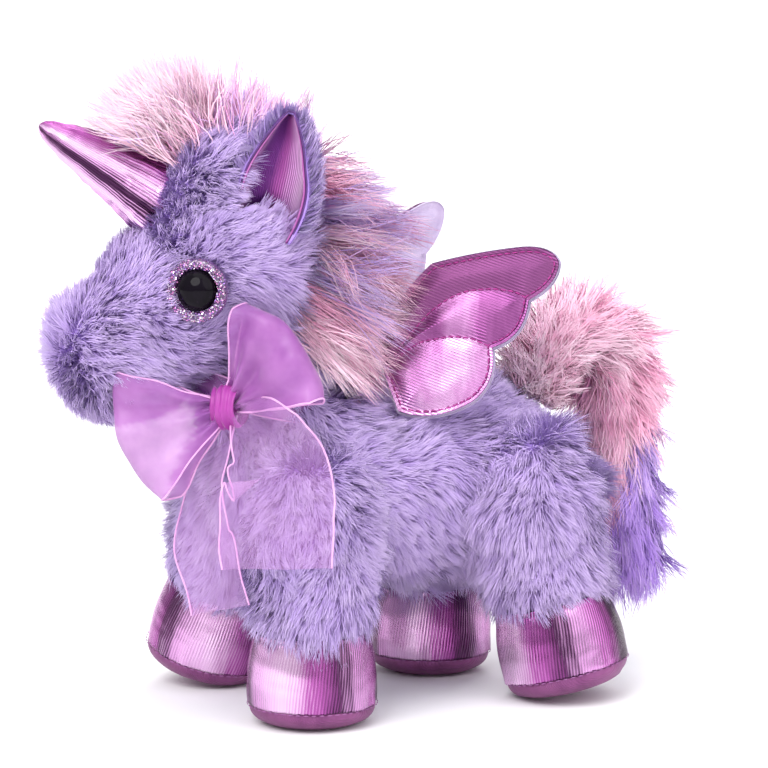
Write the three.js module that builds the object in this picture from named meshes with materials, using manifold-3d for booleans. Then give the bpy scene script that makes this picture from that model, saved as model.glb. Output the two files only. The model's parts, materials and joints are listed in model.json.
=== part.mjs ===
// Plush unicorn, standing, about 203 mm (8 in) tall.
// Millimetres, +Z up. It faces -Y and its left side is +X. The origin is the middle of the ground
// under it. Each skin is a sewn shell with an opening, and the stuffing inside is its own solid.
import * as THREE from 'three';
import { mergeVertices } from 'three/addons/utils/BufferGeometryUtils.js';
import Module from 'manifold-3d';

const wasm = await Module();
wasm.setup();

// ---- Driving dimensions ----------------------------------------------------------------------
const GAP = 0.3;            // clearance between touching pieces
const SKIN = 3;             // plush backing with its pressed pile
const FOIL = 1.2;           // metallic fabric with its lining
const ROUND = 16;           // sides of a round piece
const INNER_ROUND = 12;     // sides of what is hidden inside

// Soft lumps that a form is the union of: centre and half sizes.
const BODY_LUMPS = [
  { at: [0, 4, 67], r: [33, 56, 30] },
  { at: [0, -26, 75], r: [33, 30, 33] },
  { at: [0, 30, 66], r: [34, 33, 32] },
];
const HEAD_LUMPS = [
  { at: [0, -19, 146], r: [33, 30, 36] },
  { at: [0, -53, 112], r: [24, 24, 23] },
  { at: [0, -34, 126], r: [28, 29, 26] },
];
const NECK_LUMP = { at: [0, -9, 106], r: [23, 23, 28] };

const HEAD_PIVOT = new THREE.Vector3(0, -30, 0);
const HEAD_TURN = THREE.MathUtils.degToRad(-15);

// Legs: middle of the sole on the ground, and middle of the leg's top inside the body.
const LEGS = {
  front_left: { foot: [28, -37], top: [28, -37], shoulder: 22 },
  front_right: { foot: [-42, -41], top: [-25, -31], shoulder: 22 },
  hind_left: { foot: [36, 50], top: [25, 38], shoulder: 25 },
  hind_right: { foot: [-22, 31], top: [-22, 31], shoulder: 25 },
};
const LEG_TOP_Z = 66;
const LEG_RADIUS = 20.5;
const HOOF_TOP_Z = 27;
const HOOF_TOP_RADIUS = 17.6;
const HOOF_SEAM_RADIUS = 19.6;
const HOOF_SEAM_Z = 6.5;
const SOLE_PROFILE = [[12, 0], [17.1, 2], [HOOF_SEAM_RADIUS, HOOF_SEAM_Z - 1]];

const HORN = { base: [0, -44, 160.5], tip: [0, -77, 181], baseRadius: 12, tipRadius: 2.6, root: 10 };
const EYE = {
  at: [28.4, -34, 133], facing: [0.86, -0.5, 0.05],
  pupil: 6.3, dome: 4.9,              // the black dome's radius and height
  rim: 9.6,                           // outer radius of the glitter ring
  shank: 2, shankEnd: -12.5,          // the stalk that the washer is pressed on to
  washer: [-11.4, -10],               // from and to, along the shank
};
const EAR = {
  base: [26.5, -12, 154], tip: [32.5, -6, 186], facing: [0.9, -0.4, 0],
  radius: 12.5, flatness: 0.8,        // the trough is a little shallower than a half round
  back: 2.4, lining: 1.2,             // thicknesses
  liningShort: 2,                     // the lining stops this far below the tip
  root: 6,                            // how far the leaf starts below its base
  halfOpening: 100,                   // degrees of trough each side of its spine
  clearance: 3.3,
};
const FORELOCK = { at: [0, -28, 188], r: [11, 31, 15] };
const MANE = { at: [0, 22, 137], r: [13, 19, 31], lean: THREE.MathUtils.degToRad(14) };

const WING = {
  root: [17.5, -6.5, 104],            // on the side of the withers
  facing: [0.8, -0.52, 0.3],          // outward normal of the foil side
  seamLow: [4.6, -12],                // sewn root, in the wing's own plane
  seamHigh: [-3, 7],
  farLift: THREE.MathUtils.degToRad(14),   // the right wing is sewn on a little higher
  farTurn: THREE.MathUtils.degToRad(14),   // and closer to the back
  panel: 1,
  batting: 3.2,
};

const TAIL = {
  length: 128,
  // The bend of the plume, from its root on the rump down to its tip.
  bend: [
    [0, 56, 89], [0, 63, 104], [0, 78, 111], [0, 89, 97], [0, 95, 74], [0, 99, 48], [0, 103, 22],
  ],
  // Radius of the hair at each length along it.
  plume: [[5, 0], [11, 14], [15, 32], [16, 52], [18, 74], [16, 96], [10, 116]],
  core: { radius: 2.2, from: 1, to: 48 },
  clearance: 4,
};

const BOW = {
  knot: [17.5, -60, 97],
  facing: [0.62, -0.78, 0.1],
  knotRadius: [5.5, 4, 6],
  ribbon: 0.8,
};
const LOOPS = {
  upper: { angle: 52, length: 32, width: 30, depth: 11 },
  lower: { angle: 205, length: 34, width: 32, depth: 11 },
};
const RIBBON_TAILS = {
  left: { end: [40, -59, 57], width: 30 },
  right: { end: [12, -67, 36], width: 17 },
};
// The band round the neck lies low in front and high behind.
const NECK_BAND = { height: 9, reach: 90, at: [0, -12, 98], tilt: THREE.MathUtils.degToRad(-16) };

// ---- Solids from three.js geometries ----------------------------------------------------------
function signedVolume(positions, index) {
  const [a, b, c] = [new THREE.Vector3(), new THREE.Vector3(), new THREE.Vector3()];
  let sum = 0;
  for (let i = 0; i < index.length; i += 3) {
    a.fromArray(positions, 3 * index[i]);
    b.fromArray(positions, 3 * index[i + 1]);
    c.fromArray(positions, 3 * index[i + 2]);
    sum += a.dot(b.cross(c));
  }
  return sum / 6;
}

// A closed geometry as a solid, its faces turned outward.
function solid(geometry, matrix = new THREE.Matrix4()) {
  const copy = geometry.clone().applyMatrix4(matrix);
  copy.deleteAttribute('normal');
  copy.deleteAttribute('uv');
  const merged = mergeVertices(copy, 1e-3);
  const positions = new Float32Array(merged.attributes.position.array);
  const index = [];
  const source = merged.index.array;
  for (let i = 0; i < source.length; i += 3) {
    const [a, b, c] = [source[i], source[i + 1], source[i + 2]];
    if (a !== b && b !== c && c !== a) index.push(a, b, c);
  }
  if (signedVolume(positions, index) < 0) index.reverse();
  const mesh = new wasm.Mesh({
    numProp: 3, vertProperties: positions, triVerts: new Uint32Array(index),
  });
  return new wasm.Manifold(mesh);
}

const joined = (...solids) => solids.reduce((sum, next) => sum.add(next));
const cut = (whole, ...cutters) => cutters.reduce((rest, next) => rest.subtract(next), whole);

// The largest connected part, so that a cut leaves no crumbs.
function largest(whole) {
  return whole.decompose().sort((a, b) => b.volume() - a.volume())[0];
}

function addPiece(group, name, shape, material) {
  const { vertProperties, triVerts } = largest(shape).getMesh();
  const geometry = new THREE.BufferGeometry();
  geometry.setAttribute('position', new THREE.BufferAttribute(new Float32Array(vertProperties), 3));
  geometry.setIndex(new THREE.BufferAttribute(new Uint32Array(triVerts), 1));
  geometry.computeVertexNormals();
  const mesh = new THREE.Mesh(geometry, material.clone());
  mesh.name = name;
  group.add(mesh);
}

// A profile of [radius, height] pairs turned about Z.
function turned(profile, sides = ROUND) {
  const points = profile.map(([radius, height]) => new THREE.Vector2(radius, height));
  return new THREE.LatheGeometry(points, sides).rotateX(Math.PI / 2);
}

function ellipsoid({ at, r }, grow = 0, sides = ROUND) {
  const ball = new THREE.SphereGeometry(1, sides, sides / 2).rotateX(Math.PI / 2);
  return ball.scale(r[0] + grow, r[1] + grow, r[2] + grow).translate(...at);
}

function blob(lumps, grow, matrix, sides = ROUND) {
  return joined(...lumps.map((lump) => solid(ellipsoid(lump, grow, sides), matrix)));
}

// A frame at a point whose Z axis points one way and whose Y axis leans towards another.
function frameAt(at, zAxis, yHint = [0, 0, 1]) {
  const z = new THREE.Vector3(...zAxis).normalize();
  const x = new THREE.Vector3(...yHint).cross(z).normalize();
  const y = z.clone().cross(x);
  return new THREE.Matrix4().makeBasis(x, y, z).setPosition(...at);
}

// A turn about the X direction and then about the Z direction, through a point.
function turnedAbout([x, y, z], aboutX, aboutZ = 0) {
  return new THREE.Matrix4().makeTranslation(x, y, z)
    .multiply(new THREE.Matrix4().makeRotationZ(aboutZ))
    .multiply(new THREE.Matrix4().makeRotationX(aboutX))
    .multiply(new THREE.Matrix4().makeTranslation(-x, -y, -z));
}

// A turned body bent so that its axis follows a curve in the YZ plane.
function bentAlong(geometry, curve, length) {
  const position = geometry.attributes.position;
  const sideways = new THREE.Vector3(1, 0, 0);
  for (let i = 0; i < position.count; i += 1) {
    const t = THREE.MathUtils.clamp(position.getZ(i) / length, 0, 1);
    const tangent = curve.getTangentAt(t);
    const across = tangent.clone().cross(sideways);
    const point = curve.getPointAt(t)
      .addScaledVector(tangent, position.getZ(i) - t * length)
      .addScaledVector(sideways, position.getX(i))
      .addScaledVector(across, position.getY(i));
    position.setXYZ(i, point.x, point.y, point.z);
  }
  return geometry;
}

// ---- Finishes ------------------------------------------------------------------------------------
const finish = (color, roughness, metalness = 0) =>
  new THREE.MeshStandardMaterial({ color, roughness, metalness });
const PLUSH = finish('#a893dc', 0.95);
const FOIL_FABRIC = finish('#b97fb4', 0.3, 0.8);
const SOLE_FABRIC = finish('#a77da0', 0.4, 0.6);
const FELT = finish('#c8b4dc', 0.9);
const FIBRE = finish('#f2f0ec', 1);
const HAIR_PINK = finish('#e295cf', 0.9);
const HAIR_PURPLE = finish('#9a62c8', 0.9);
const ORGANZA = finish('#c56ad0', 0.5);
const GLOSS_BLACK = finish('#0b0a10', 0.08);
const GLITTER = finish('#6a3f7c', 0.3, 0.7);
const PLASTIC = finish('#e8e8ea', 0.5);

// ---- Body --------------------------------------------------------------------------------------
const unicorn = new THREE.Group();

const CLOSING_SEAM = { width: 1.6, length: 34, depth: 24, at: [0, 6, 34] };

function addBody() {
  const { width, length, depth, at } = CLOSING_SEAM;
  const closingSeam = solid(new THREE.BoxGeometry(width, length, depth).translate(...at));
  const inside = (grow) => blob(BODY_LUMPS, grow, undefined, INNER_ROUND);
  addPiece(unicorn, 'body_skin', cut(blob(BODY_LUMPS, 0), inside(-SKIN), closingSeam), PLUSH);
  addPiece(unicorn, 'body_stuffing', inside(-SKIN - GAP), FIBRE);
}

// ---- Legs and hooves ---------------------------------------------------------------------------
// The foot's frame, its Z axis along the leg, raised until the edge of a tilted sole is on the ground.
function legFrame({ foot, top }) {
  const up = new THREE.Vector3(top[0] - foot[0], top[1] - foot[1], LEG_TOP_Z);
  const tilt = up.angleTo(new THREE.Vector3(0, 0, 1));
  const lift = Math.max(...SOLE_PROFILE.map(([r, z]) => r * Math.sin(tilt) - z * Math.cos(tilt)));
  return frameAt([foot[0], foot[1], lift], up.toArray(), [0, -1, 0]);
}

function legForm({ shoulder }, grow, sides = ROUND) {
  return solid(turned([
    [0, HOOF_TOP_Z - grow],
    [LEG_RADIUS - 2 + grow, HOOF_TOP_Z - grow],
    [LEG_RADIUS + grow, HOOF_TOP_Z + 6],
    [LEG_RADIUS + grow, 46],
    [shoulder + grow, 62],
    [shoulder - 6 + grow, 80],
    [0, 86 + grow],
  ], sides));
}

function hoofForm(grow) {
  return solid(turned([
    [0, HOOF_SEAM_Z],
    [HOOF_SEAM_RADIUS + grow, HOOF_SEAM_Z],
    [HOOF_TOP_RADIUS + grow, HOOF_TOP_Z - GAP],
    [0, HOOF_TOP_Z - GAP],
  ]));
}

function addLeg(name, leg) {
  const frame = legFrame(leg);
  const group = new THREE.Group();
  group.applyMatrix4(frame);
  unicorn.add(group);
  const bodySpace = blob(BODY_LUMPS, GAP, frame.clone().invert());

  const throat = solid(turned([
    [0, HOOF_TOP_Z - 3], [HOOF_TOP_RADIUS - FOIL, HOOF_TOP_Z - 3],
    [HOOF_TOP_RADIUS - FOIL, HOOF_TOP_Z + 4], [0, HOOF_TOP_Z + 4],
  ], INNER_ROUND));
  const skin = cut(legForm(leg, 0), legForm(leg, -SKIN, INNER_ROUND), throat, bodySpace);
  addPiece(group, `${name}_leg_skin`, skin, PLUSH);

  const core = solid(turned([
    [0, HOOF_TOP_Z - 2], [HOOF_TOP_RADIUS - FOIL - GAP, HOOF_TOP_Z - 2],
    [HOOF_TOP_RADIUS - FOIL - GAP, HOOF_TOP_Z + 5], [0, HOOF_TOP_Z + 5],
  ], INNER_ROUND));
  const hoofFill = solid(turned([
    [0, HOOF_SEAM_Z],
    [HOOF_SEAM_RADIUS - FOIL - GAP, HOOF_SEAM_Z],
    [HOOF_TOP_RADIUS - FOIL - GAP, HOOF_TOP_Z - 1],
    [0, HOOF_TOP_Z - 1],
  ], INNER_ROUND));
  const filling = joined(legForm(leg, -SKIN - GAP, INNER_ROUND), core, hoofFill);
  addPiece(group, `${name}_leg_stuffing`, cut(filling, bodySpace), FIBRE);

  const bore = solid(turned([
    [0, HOOF_SEAM_Z - 1],
    [HOOF_SEAM_RADIUS - FOIL, HOOF_SEAM_Z - 1],
    [HOOF_TOP_RADIUS - FOIL, HOOF_TOP_Z + 1],
    [0, HOOF_TOP_Z + 1],
  ], INNER_ROUND));
  addPiece(group, `${name}_hoof_wall`, cut(hoofForm(0), bore), FOIL_FABRIC);

  const sole = solid(turned([
    [0, 0],
    ...SOLE_PROFILE,
    [HOOF_SEAM_RADIUS, HOOF_SEAM_Z - GAP],
    [0, HOOF_SEAM_Z - GAP],
  ]));
  addPiece(group, `${name}_hoof_sole`, sole, SOLE_FABRIC);
}

// ---- Head ----------------------------------------------------------------------------------------
const head = new THREE.Group();
head.position.copy(HEAD_PIVOT);
head.rotation.z = HEAD_TURN;
head.updateMatrix();
const intoHead = head.matrix.clone().invert();
const headForm = (grow, sides) => blob([...HEAD_LUMPS, NECK_LUMP], grow, undefined, sides);
const mirrorX = new THREE.Matrix4().makeScale(-1, 1, 1);

// The same shape on the left, and mirrored on the right.
const onSide = (side, matrix) => (side > 0 ? matrix : mirrorX.clone().multiply(matrix));
const SIDES = { left: 1, right: -1 };

function eyeCutters(side) {
  const frame = onSide(side, frameAt(EYE.at, EYE.facing));
  const disc = (radius, low, high) => solid(turned([
    [0, low], [radius, low], [radius, high], [0, high],
  ], INNER_ROUND), frame);
  const clear = 12;
  return {
    seat: disc(EYE.rim + GAP, -1, clear),
    shank: disc(EYE.shank + GAP, EYE.shankEnd - 1.5, 2),
    pocket: disc(EYE.pupil + 1.5, EYE.shankEnd - 1, clear),
  };
}

function addHead() {
  const bodySpace = blob(BODY_LUMPS, GAP, intoHead);
  const eyes = Object.values(SIDES).map(eyeCutters);
  const seats = eyes.flatMap(({ seat, shank }) => [seat, shank]);
  const skin = cut(headForm(0), headForm(-SKIN, INNER_ROUND), bodySpace, ...seats);
  addPiece(head, 'head_skin', skin, PLUSH);
  const pockets = eyes.map(({ pocket }) => pocket);
  const filling = headForm(-SKIN - GAP, INNER_ROUND);
  addPiece(head, 'head_stuffing', cut(filling, bodySpace, ...pockets), FIBRE);
}

function addEye(name, side) {
  const frame = onSide(side, frameAt(EYE.at, EYE.facing));
  const { pupil, dome, rim, shank, shankEnd, washer: [from, to] } = EYE;
  const back = -0.4;
  addPiece(head, `${name}_eye_pupil`, solid(turned([
    [0, shankEnd], [shank, shankEnd], [shank, back], [pupil, back],
    [pupil, 1.2], [pupil * 0.8, 3.4], [pupil * 0.4, dome - 0.3], [0, dome],
  ]), frame), GLOSS_BLACK);
  addPiece(head, `${name}_eye_rim`, solid(turned([
    [pupil + GAP, back], [rim, back], [rim, 0.6], [rim - 1, 1.8], [pupil + GAP, 2.2],
    [pupil + GAP, back],
  ]), frame), GLITTER);
  addPiece(head, `${name}_eye_washer`, solid(turned([
    [shank + GAP, from], [pupil, from], [pupil, to], [shank + GAP, to], [shank + GAP, from],
  ], INNER_ROUND), frame), PLASTIC);
}

// ---- Horn ----------------------------------------------------------------------------------------
const hornAxis = new THREE.Vector3(...HORN.tip).sub(new THREE.Vector3(...HORN.base));
const hornFrame = frameAt(HORN.base, hornAxis.toArray(), [1, 0, 0]);

// A blunt cone that starts inside the skull. Negative growth gives its filling.
function hornForm(grow) {
  const length = hornAxis.length();
  const { baseRadius, tipRadius, root } = HORN;
  return solid(turned([
    [0, -root], [baseRadius + 1.6 + grow, -root], [baseRadius + grow, 0],
    [(baseRadius + tipRadius) * 0.52 + grow, length * 0.5],
    [tipRadius + grow, length - 2], [tipRadius * 0.5 + grow * 0.5, length + grow * 0.6],
    [0, length + grow * 0.6],
  ]), hornFrame);
}

function addHorn() {
  const skull = headForm(GAP);
  addPiece(head, 'horn_cover', cut(hornForm(0), hornForm(-FOIL), skull), FOIL_FABRIC);
  addPiece(head, 'horn_stuffing', cut(hornForm(-FOIL - GAP), skull), FIBRE);
}

// ---- Ears ----------------------------------------------------------------------------------------
const earLength = new THREE.Vector3(...EAR.tip).distanceTo(new THREE.Vector3(...EAR.base));

// A leaf rolled into an open trough: a crescent section that widens and then narrows to a point.
function earLayer(outer, thickness, grow) {
  const spine = -Math.PI / 2;
  const half = THREE.MathUtils.degToRad(EAR.halfOpening);
  const section = new THREE.Shape();
  section.absarc(0, 0, outer, spine - half, spine + half, false);
  section.absarc(0, 0, outer - thickness, spine + half, spine - half, true);
  section.closePath();
  const geometry = new THREE.ExtrudeGeometry(section, {
    depth: 1, steps: 5, bevelEnabled: false, curveSegments: 7,
  });
  const position = geometry.attributes.position;
  for (let i = 0; i < position.count; i += 1) {
    const t = position.getZ(i);
    const width = 0.12 + 0.88 * Math.sin(Math.PI * (0.22 + 0.78 * t)) ** 0.8;
    position.setXYZ(i, position.getX(i) * width, position.getY(i) * width * EAR.flatness,
      -EAR.root + t * (earLength + EAR.root + grow));
  }
  return geometry;
}

function addEar(name, side) {
  const along = new THREE.Vector3(...EAR.tip).sub(new THREE.Vector3(...EAR.base)).toArray();
  const frame = onSide(side, frameAt(EAR.base, along, EAR.facing));
  const skull = headForm(EAR.clearance);
  const layer = (outer, thickness, grow) =>
    cut(solid(earLayer(outer, thickness, grow), frame), skull);
  const inner = EAR.radius - EAR.back - GAP * 2;
  addPiece(head, `${name}_ear_back`, layer(EAR.radius, EAR.back, 0), PLUSH);
  addPiece(head, `${name}_ear_lining`, layer(inner, EAR.lining, -EAR.liningShort), FOIL_FABRIC);
}

// ---- Forelock and mane -----------------------------------------------------------------------
function addHair(wingSpaces) {
  const skull = headForm(GAP);
  addPiece(head, 'forelock', cut(solid(ellipsoid(FORELOCK)), skull, hornForm(GAP)), HAIR_PINK);
  const mane = solid(ellipsoid(MANE), turnedAbout(MANE.at, MANE.lean));
  const bodySpace = blob(BODY_LUMPS, GAP, intoHead);
  addPiece(head, 'mane', cut(mane, skull, bodySpace, ...wingSpaces), HAIR_PURPLE);
}

// ---- Wings ---------------------------------------------------------------------------------------
// Three round feathers along the rear edge, in the wing's plane: X runs back, Y runs up.
function wingOutline(grow = 0) {
  const shape = new THREE.Shape();
  shape.moveTo(WING.seamLow[0] - grow, WING.seamLow[1] - grow);
  shape.quadraticCurveTo(15, -16 - grow, 27, -9 - grow);
  shape.quadraticCurveTo(35 + grow, -3, 33 + grow, 8);
  shape.quadraticCurveTo(43 + grow, 11, 44 + grow, 23);
  shape.quadraticCurveTo(53 + grow, 28, 53 + grow, 35);
  shape.quadraticCurveTo(51 + grow, 40 + grow, 42, 39.5 + grow);
  shape.quadraticCurveTo(28, 38 + grow, 14 - grow, 34 + grow);
  shape.quadraticCurveTo(3 - grow, 24, WING.seamHigh[0] - grow, WING.seamHigh[1]);
  shape.closePath();
  return shape;
}

function wingFrame(side) {
  const far = side < 0 ? 1 : 0;
  const set = turnedAbout(WING.root, far * WING.farLift, far * WING.farTurn);
  return onSide(side, set.multiply(frameAt(WING.root, WING.facing)));
}

function wingLayer(side, low, depth, grow) {
  const geometry = new THREE.ExtrudeGeometry(wingOutline(grow), {
    depth, bevelEnabled: false, curveSegments: 4,
  }).translate(0, 0, low);
  return solid(geometry, wingFrame(side));
}

// The room that a wing and the hair beside it keep from each other.
const wingSpace = (side) => wingLayer(side, -6, 14, 3);

function addWing(name, side) {
  const { panel, batting } = WING;
  const bodySpace = joined(blob(BODY_LUMPS, 1), blob([...HEAD_LUMPS, NECK_LUMP], 1, head.matrix));
  const layer = (low, depth, grow) => cut(wingLayer(side, low, depth, grow), bodySpace);
  addPiece(unicorn, `${name}_wing_front`, layer(batting / 2 + GAP, panel, 0), FOIL_FABRIC);
  addPiece(unicorn, `${name}_wing_batting`, layer(-batting / 2, batting, -1.5), FIBRE);
  addPiece(unicorn, `${name}_wing_back`, layer(-batting / 2 - GAP - panel, panel, 1), FELT);
}

// ---- Tail ----------------------------------------------------------------------------------------
const tailCurve = new THREE.CatmullRomCurve3(TAIL.bend.map((point) => new THREE.Vector3(...point)));

// A straight rod with enough rings to bend smoothly.
function rod(radius, from, to) {
  const rings = 8;
  const side = Array.from({ length: rings + 1 }, (_, i) => [radius, from + (to - from) * i / rings]);
  return turned([[0, from], ...side, [0, to]], 10);
}

function addTail() {
  const { length, clearance, core: { radius, from, to } } = TAIL;
  const bodySpace = blob(BODY_LUMPS, clearance);
  const plume = turned([[0, 0], ...TAIL.plume, [0, length]]);
  const core = rod(radius, from, to);
  const coreSpace = rod(radius + 0.5, from - 5, to + 2);
  const bent = (geometry) => solid(bentAlong(geometry, tailCurve, length));
  addPiece(unicorn, 'tail_plume', cut(bent(plume), bodySpace, bent(coreSpace)), HAIR_PINK);
  addPiece(unicorn, 'tail_core', cut(bent(core), bodySpace), FELT);
}

// ---- Bow -----------------------------------------------------------------------------------------
const bowFrame = frameAt(BOW.knot, BOW.facing);

// What a tilted slab leaves of a thin layer round the neck, clear of the head and the body.
function neckBand() {
  const { height, reach, at, tilt } = NECK_BAND;
  const slab = new THREE.BoxGeometry(reach, reach, height).rotateX(tilt).translate(...at);
  const neck = (grow) => blob([NECK_LUMP], grow, head.matrix);
  const taken = [neck(GAP), blob(BODY_LUMPS, GAP), blob(HEAD_LUMPS, GAP, head.matrix)];
  return cut(neck(GAP + BOW.ribbon).intersect(solid(slab, head.matrix)), ...taken);
}

// A loop of ribbon, gathered to the knot's height at one end and full width at the other.
function bowLoop({ angle, length, width, depth }) {
  const ring = new THREE.Shape();
  ring.absellipse(length / 2, 0, length / 2, depth / 2, 0, 2 * Math.PI);
  const hole = new THREE.Path();
  hole.absellipse(length / 2, 0, length / 2 - BOW.ribbon, depth / 2 - BOW.ribbon, 0, 2 * Math.PI);
  ring.holes.push(hole);
  const geometry = new THREE.ExtrudeGeometry(ring, {
    depth: 1, bevelEnabled: false, curveSegments: 10,
  });
  const position = geometry.attributes.position;
  for (let i = 0; i < position.count; i += 1) {
    const spread = 0.2 + 0.8 * Math.sin(Math.PI / 2 * Math.min(1, position.getX(i) / length * 1.4));
    position.setZ(i, (position.getZ(i) - 0.5) * width * spread);
  }
  const out = BOW.knotRadius[0] + GAP;
  geometry.translate(out, 0, 0).rotateX(-Math.PI / 2).rotateZ(THREE.MathUtils.degToRad(angle));
  return solid(geometry, bowFrame);
}

function ribbonTail({ end, width }) {
  const up = new THREE.Vector3(...BOW.knot).sub(new THREE.Vector3(...end));
  const length = up.length();
  const across = up.clone().cross(new THREE.Vector3(...BOW.facing));
  const frame = frameAt(end, across.cross(up).negate().toArray(), up.toArray());
  const half = width / 2;
  const neckHalf = BOW.knotRadius[0] / 2;
  const [shoulder, top] = [length * 0.55, length - 8];
  const plate = new THREE.Shape([
    [-half, 0], [half, 0], [half, shoulder], [neckHalf, top], [-neckHalf, top], [-half, shoulder],
  ].map(([x, y]) => new THREE.Vector2(x, y)));
  return solid(new THREE.ExtrudeGeometry(plate, { depth: BOW.ribbon, bevelEnabled: false }), frame);
}

function addBow() {
  addPiece(unicorn, 'neck_ribbon', neckBand(), ORGANZA);
  const knot = solid(ellipsoid({ at: [0, 0, 0], r: BOW.knotRadius }), bowFrame);
  addPiece(unicorn, 'bow_knot', cut(knot, blob([...HEAD_LUMPS, NECK_LUMP], 1.5, head.matrix)), ORGANZA);
  Object.entries(LOOPS).forEach(([name, loop]) => {
    const headSpace = blob([...HEAD_LUMPS, NECK_LUMP], GAP, head.matrix);
    addPiece(unicorn, `bow_${name}_loop`, cut(bowLoop(loop), headSpace), ORGANZA);
  });
  Object.entries(RIBBON_TAILS).forEach(([name, tail]) => {
    addPiece(unicorn, `bow_${name}_tail`, ribbonTail(tail), ORGANZA);
  });
}

addBody();
Object.entries(LEGS).forEach(([name, leg]) => addLeg(name, leg));
unicorn.add(head);
addHead();
Object.entries(SIDES).forEach(([name, side]) => {
  addEye(name, side);
  addEar(name, side);
  addWing(name, side);
});
addHorn();
addHair(Object.values(SIDES).map((side) => wingSpace(side).transform(intoHead.elements)));
addTail();
addBow();

// The origin is the middle of the ground under the toy.
unicorn.updateMatrixWorld(true);
const bounds = new THREE.Box3().setFromObject(unicorn, true);
const middle = bounds.getCenter(new THREE.Vector3());
unicorn.position.set(-middle.x, -middle.y, -bounds.min.z);

export default unicorn;
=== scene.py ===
"""Looks of the plush unicorn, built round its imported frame.

Shapes are worked out in the toy's own millimetres (+Z up, facing -Y, +X its left) and moved into the
frame by ORIGIN. Head pieces are worked out in the head's own axes and turned by HEAD.
"""
import json
import math

import bpy
import numpy as np
from mathutils import Matrix, Vector, kdtree

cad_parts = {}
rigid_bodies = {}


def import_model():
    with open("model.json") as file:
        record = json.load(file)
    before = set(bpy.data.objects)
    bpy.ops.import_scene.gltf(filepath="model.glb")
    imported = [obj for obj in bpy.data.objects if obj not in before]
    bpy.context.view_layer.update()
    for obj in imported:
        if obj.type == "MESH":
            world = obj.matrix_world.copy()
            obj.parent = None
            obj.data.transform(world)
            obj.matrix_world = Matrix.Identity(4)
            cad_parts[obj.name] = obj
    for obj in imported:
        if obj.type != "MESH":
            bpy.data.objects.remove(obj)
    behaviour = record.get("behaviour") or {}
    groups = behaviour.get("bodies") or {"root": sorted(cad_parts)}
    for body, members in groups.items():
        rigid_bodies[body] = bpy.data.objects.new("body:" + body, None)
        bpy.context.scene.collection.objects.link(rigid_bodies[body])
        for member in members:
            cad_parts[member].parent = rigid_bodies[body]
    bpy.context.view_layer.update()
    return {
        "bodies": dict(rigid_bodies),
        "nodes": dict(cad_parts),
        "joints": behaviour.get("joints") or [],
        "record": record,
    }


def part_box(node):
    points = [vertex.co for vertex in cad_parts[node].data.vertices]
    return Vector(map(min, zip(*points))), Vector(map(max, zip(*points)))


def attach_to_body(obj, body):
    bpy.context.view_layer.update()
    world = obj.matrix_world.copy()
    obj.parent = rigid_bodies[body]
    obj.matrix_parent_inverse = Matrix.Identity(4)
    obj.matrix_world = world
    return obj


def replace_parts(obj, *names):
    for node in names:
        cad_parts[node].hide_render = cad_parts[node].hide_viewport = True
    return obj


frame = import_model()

MM = 0.001

# ---- Driving dimensions, in millimetres ---------------------------------------------------------
BODY_LUMPS = [((0, 4, 67), (33, 56, 30)), ((0, -26, 75), (33, 30, 33)), ((0, 30, 66), (34, 33, 32))]
HEAD_LUMPS = [((0, -19, 146), (33, 30, 36)), ((0, -53, 112), (24, 24, 23)), ((0, -34, 126), (28, 29, 26)),
              ((0, -9, 106), (23, 23, 28))]
HEAD_PIVOT = (0, -30, 0)
HEAD_TURN = math.radians(-15)
LEGS = {
    "front_left": dict(foot=(28, -37), top=(28, -37), shoulder=22),
    "front_right": dict(foot=(-42, -41), top=(-25, -31), shoulder=22),
    "hind_left": dict(foot=(36, 50), top=(25, 38), shoulder=25),
    "hind_right": dict(foot=(-22, 31), top=(-22, 31), shoulder=25),
}
LEG_TOP_Z = 66
LEG_RADIUS = 20.5
HOOF_TOP_Z = 27
HOOF_TOP_RADIUS = 17.6
HOOF_SEAM_RADIUS = 19.6
HOOF_SEAM_Z = 6.5
SOLE_PROFILE = [(12, 0), (17.1, 2), (HOOF_SEAM_RADIUS, HOOF_SEAM_Z - 1)]
SKIN_INSET = 3.5            # the woven backing lies this far inside the pressed pile of the frame
HORN_BASE, HORN_TIP = (0, -44, 160.5), (0, -77, 181)
HORN_PROFILE = [               # distance from the tip, radius
    (0, 0.15), (0.25, 1.0), (1, 2.0), (3, 3.2), (9.4, 5.5), (20, 7.9), (31, 9.8), (40, 12), (48, 12.8)]
HORN_RADIUS = 12
RIB = 0.9                      # pitch of the ribs in the foil
EYE_AT, EYE_FACING = (28.4, -34, 133), (0.86, -0.5, 0.05)
EYE_PUPIL, EYE_RIM = 6.3, 9.6
EYE_DOME, EYE_SHANK, EYE_SHANK_END = 4.7, 2, -12.5
EAR_BASE, EAR_TIP, EAR_FACING = (26.5, -12, 154), (32.5, -6, 186), (0.9, -0.4, 0)
EAR_RADIUS, EAR_ROOT = 12.5, 6
WING_ROOT, WING_FACING = (17.5, -6.5, 104), (0.8, -0.52, 0.3)
FAR_WING_LIFT, FAR_WING_TURN = math.radians(14), math.radians(14)
BOW_KNOT, BOW_FACING = (17.5, -60, 97), (0.62, -0.78, 0.1)
BOW_START = 2.5                # where a loop leaves the middle of the knot
TAIL_BEND = [(0, 56, 89), (0, 63, 104), (0, 78, 111), (0, 89, 97), (0, 95, 74), (0, 99, 48), (0, 103, 22)]
MANE_HEIGHTS = (104, 120, 140, 158, 168)
MANE_WIDTHS = (12, 18, 20, 17, 8)
MANE_FRONT = -6
SOLE_LOOKS = [(0.01, 0), (10, 0.0), (13.5, 0.35), (17.2, 1.8), (19.2, 4.0), (19.7, 5.6), (19.2, 6.3)]
SIDES = {"left": 1, "right": -1}


# ---- Frames ------------------------------------------------------------------------------------------
def centre_of(node):
    low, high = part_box(node)
    return (Vector(low) + Vector(high)) / 2


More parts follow.
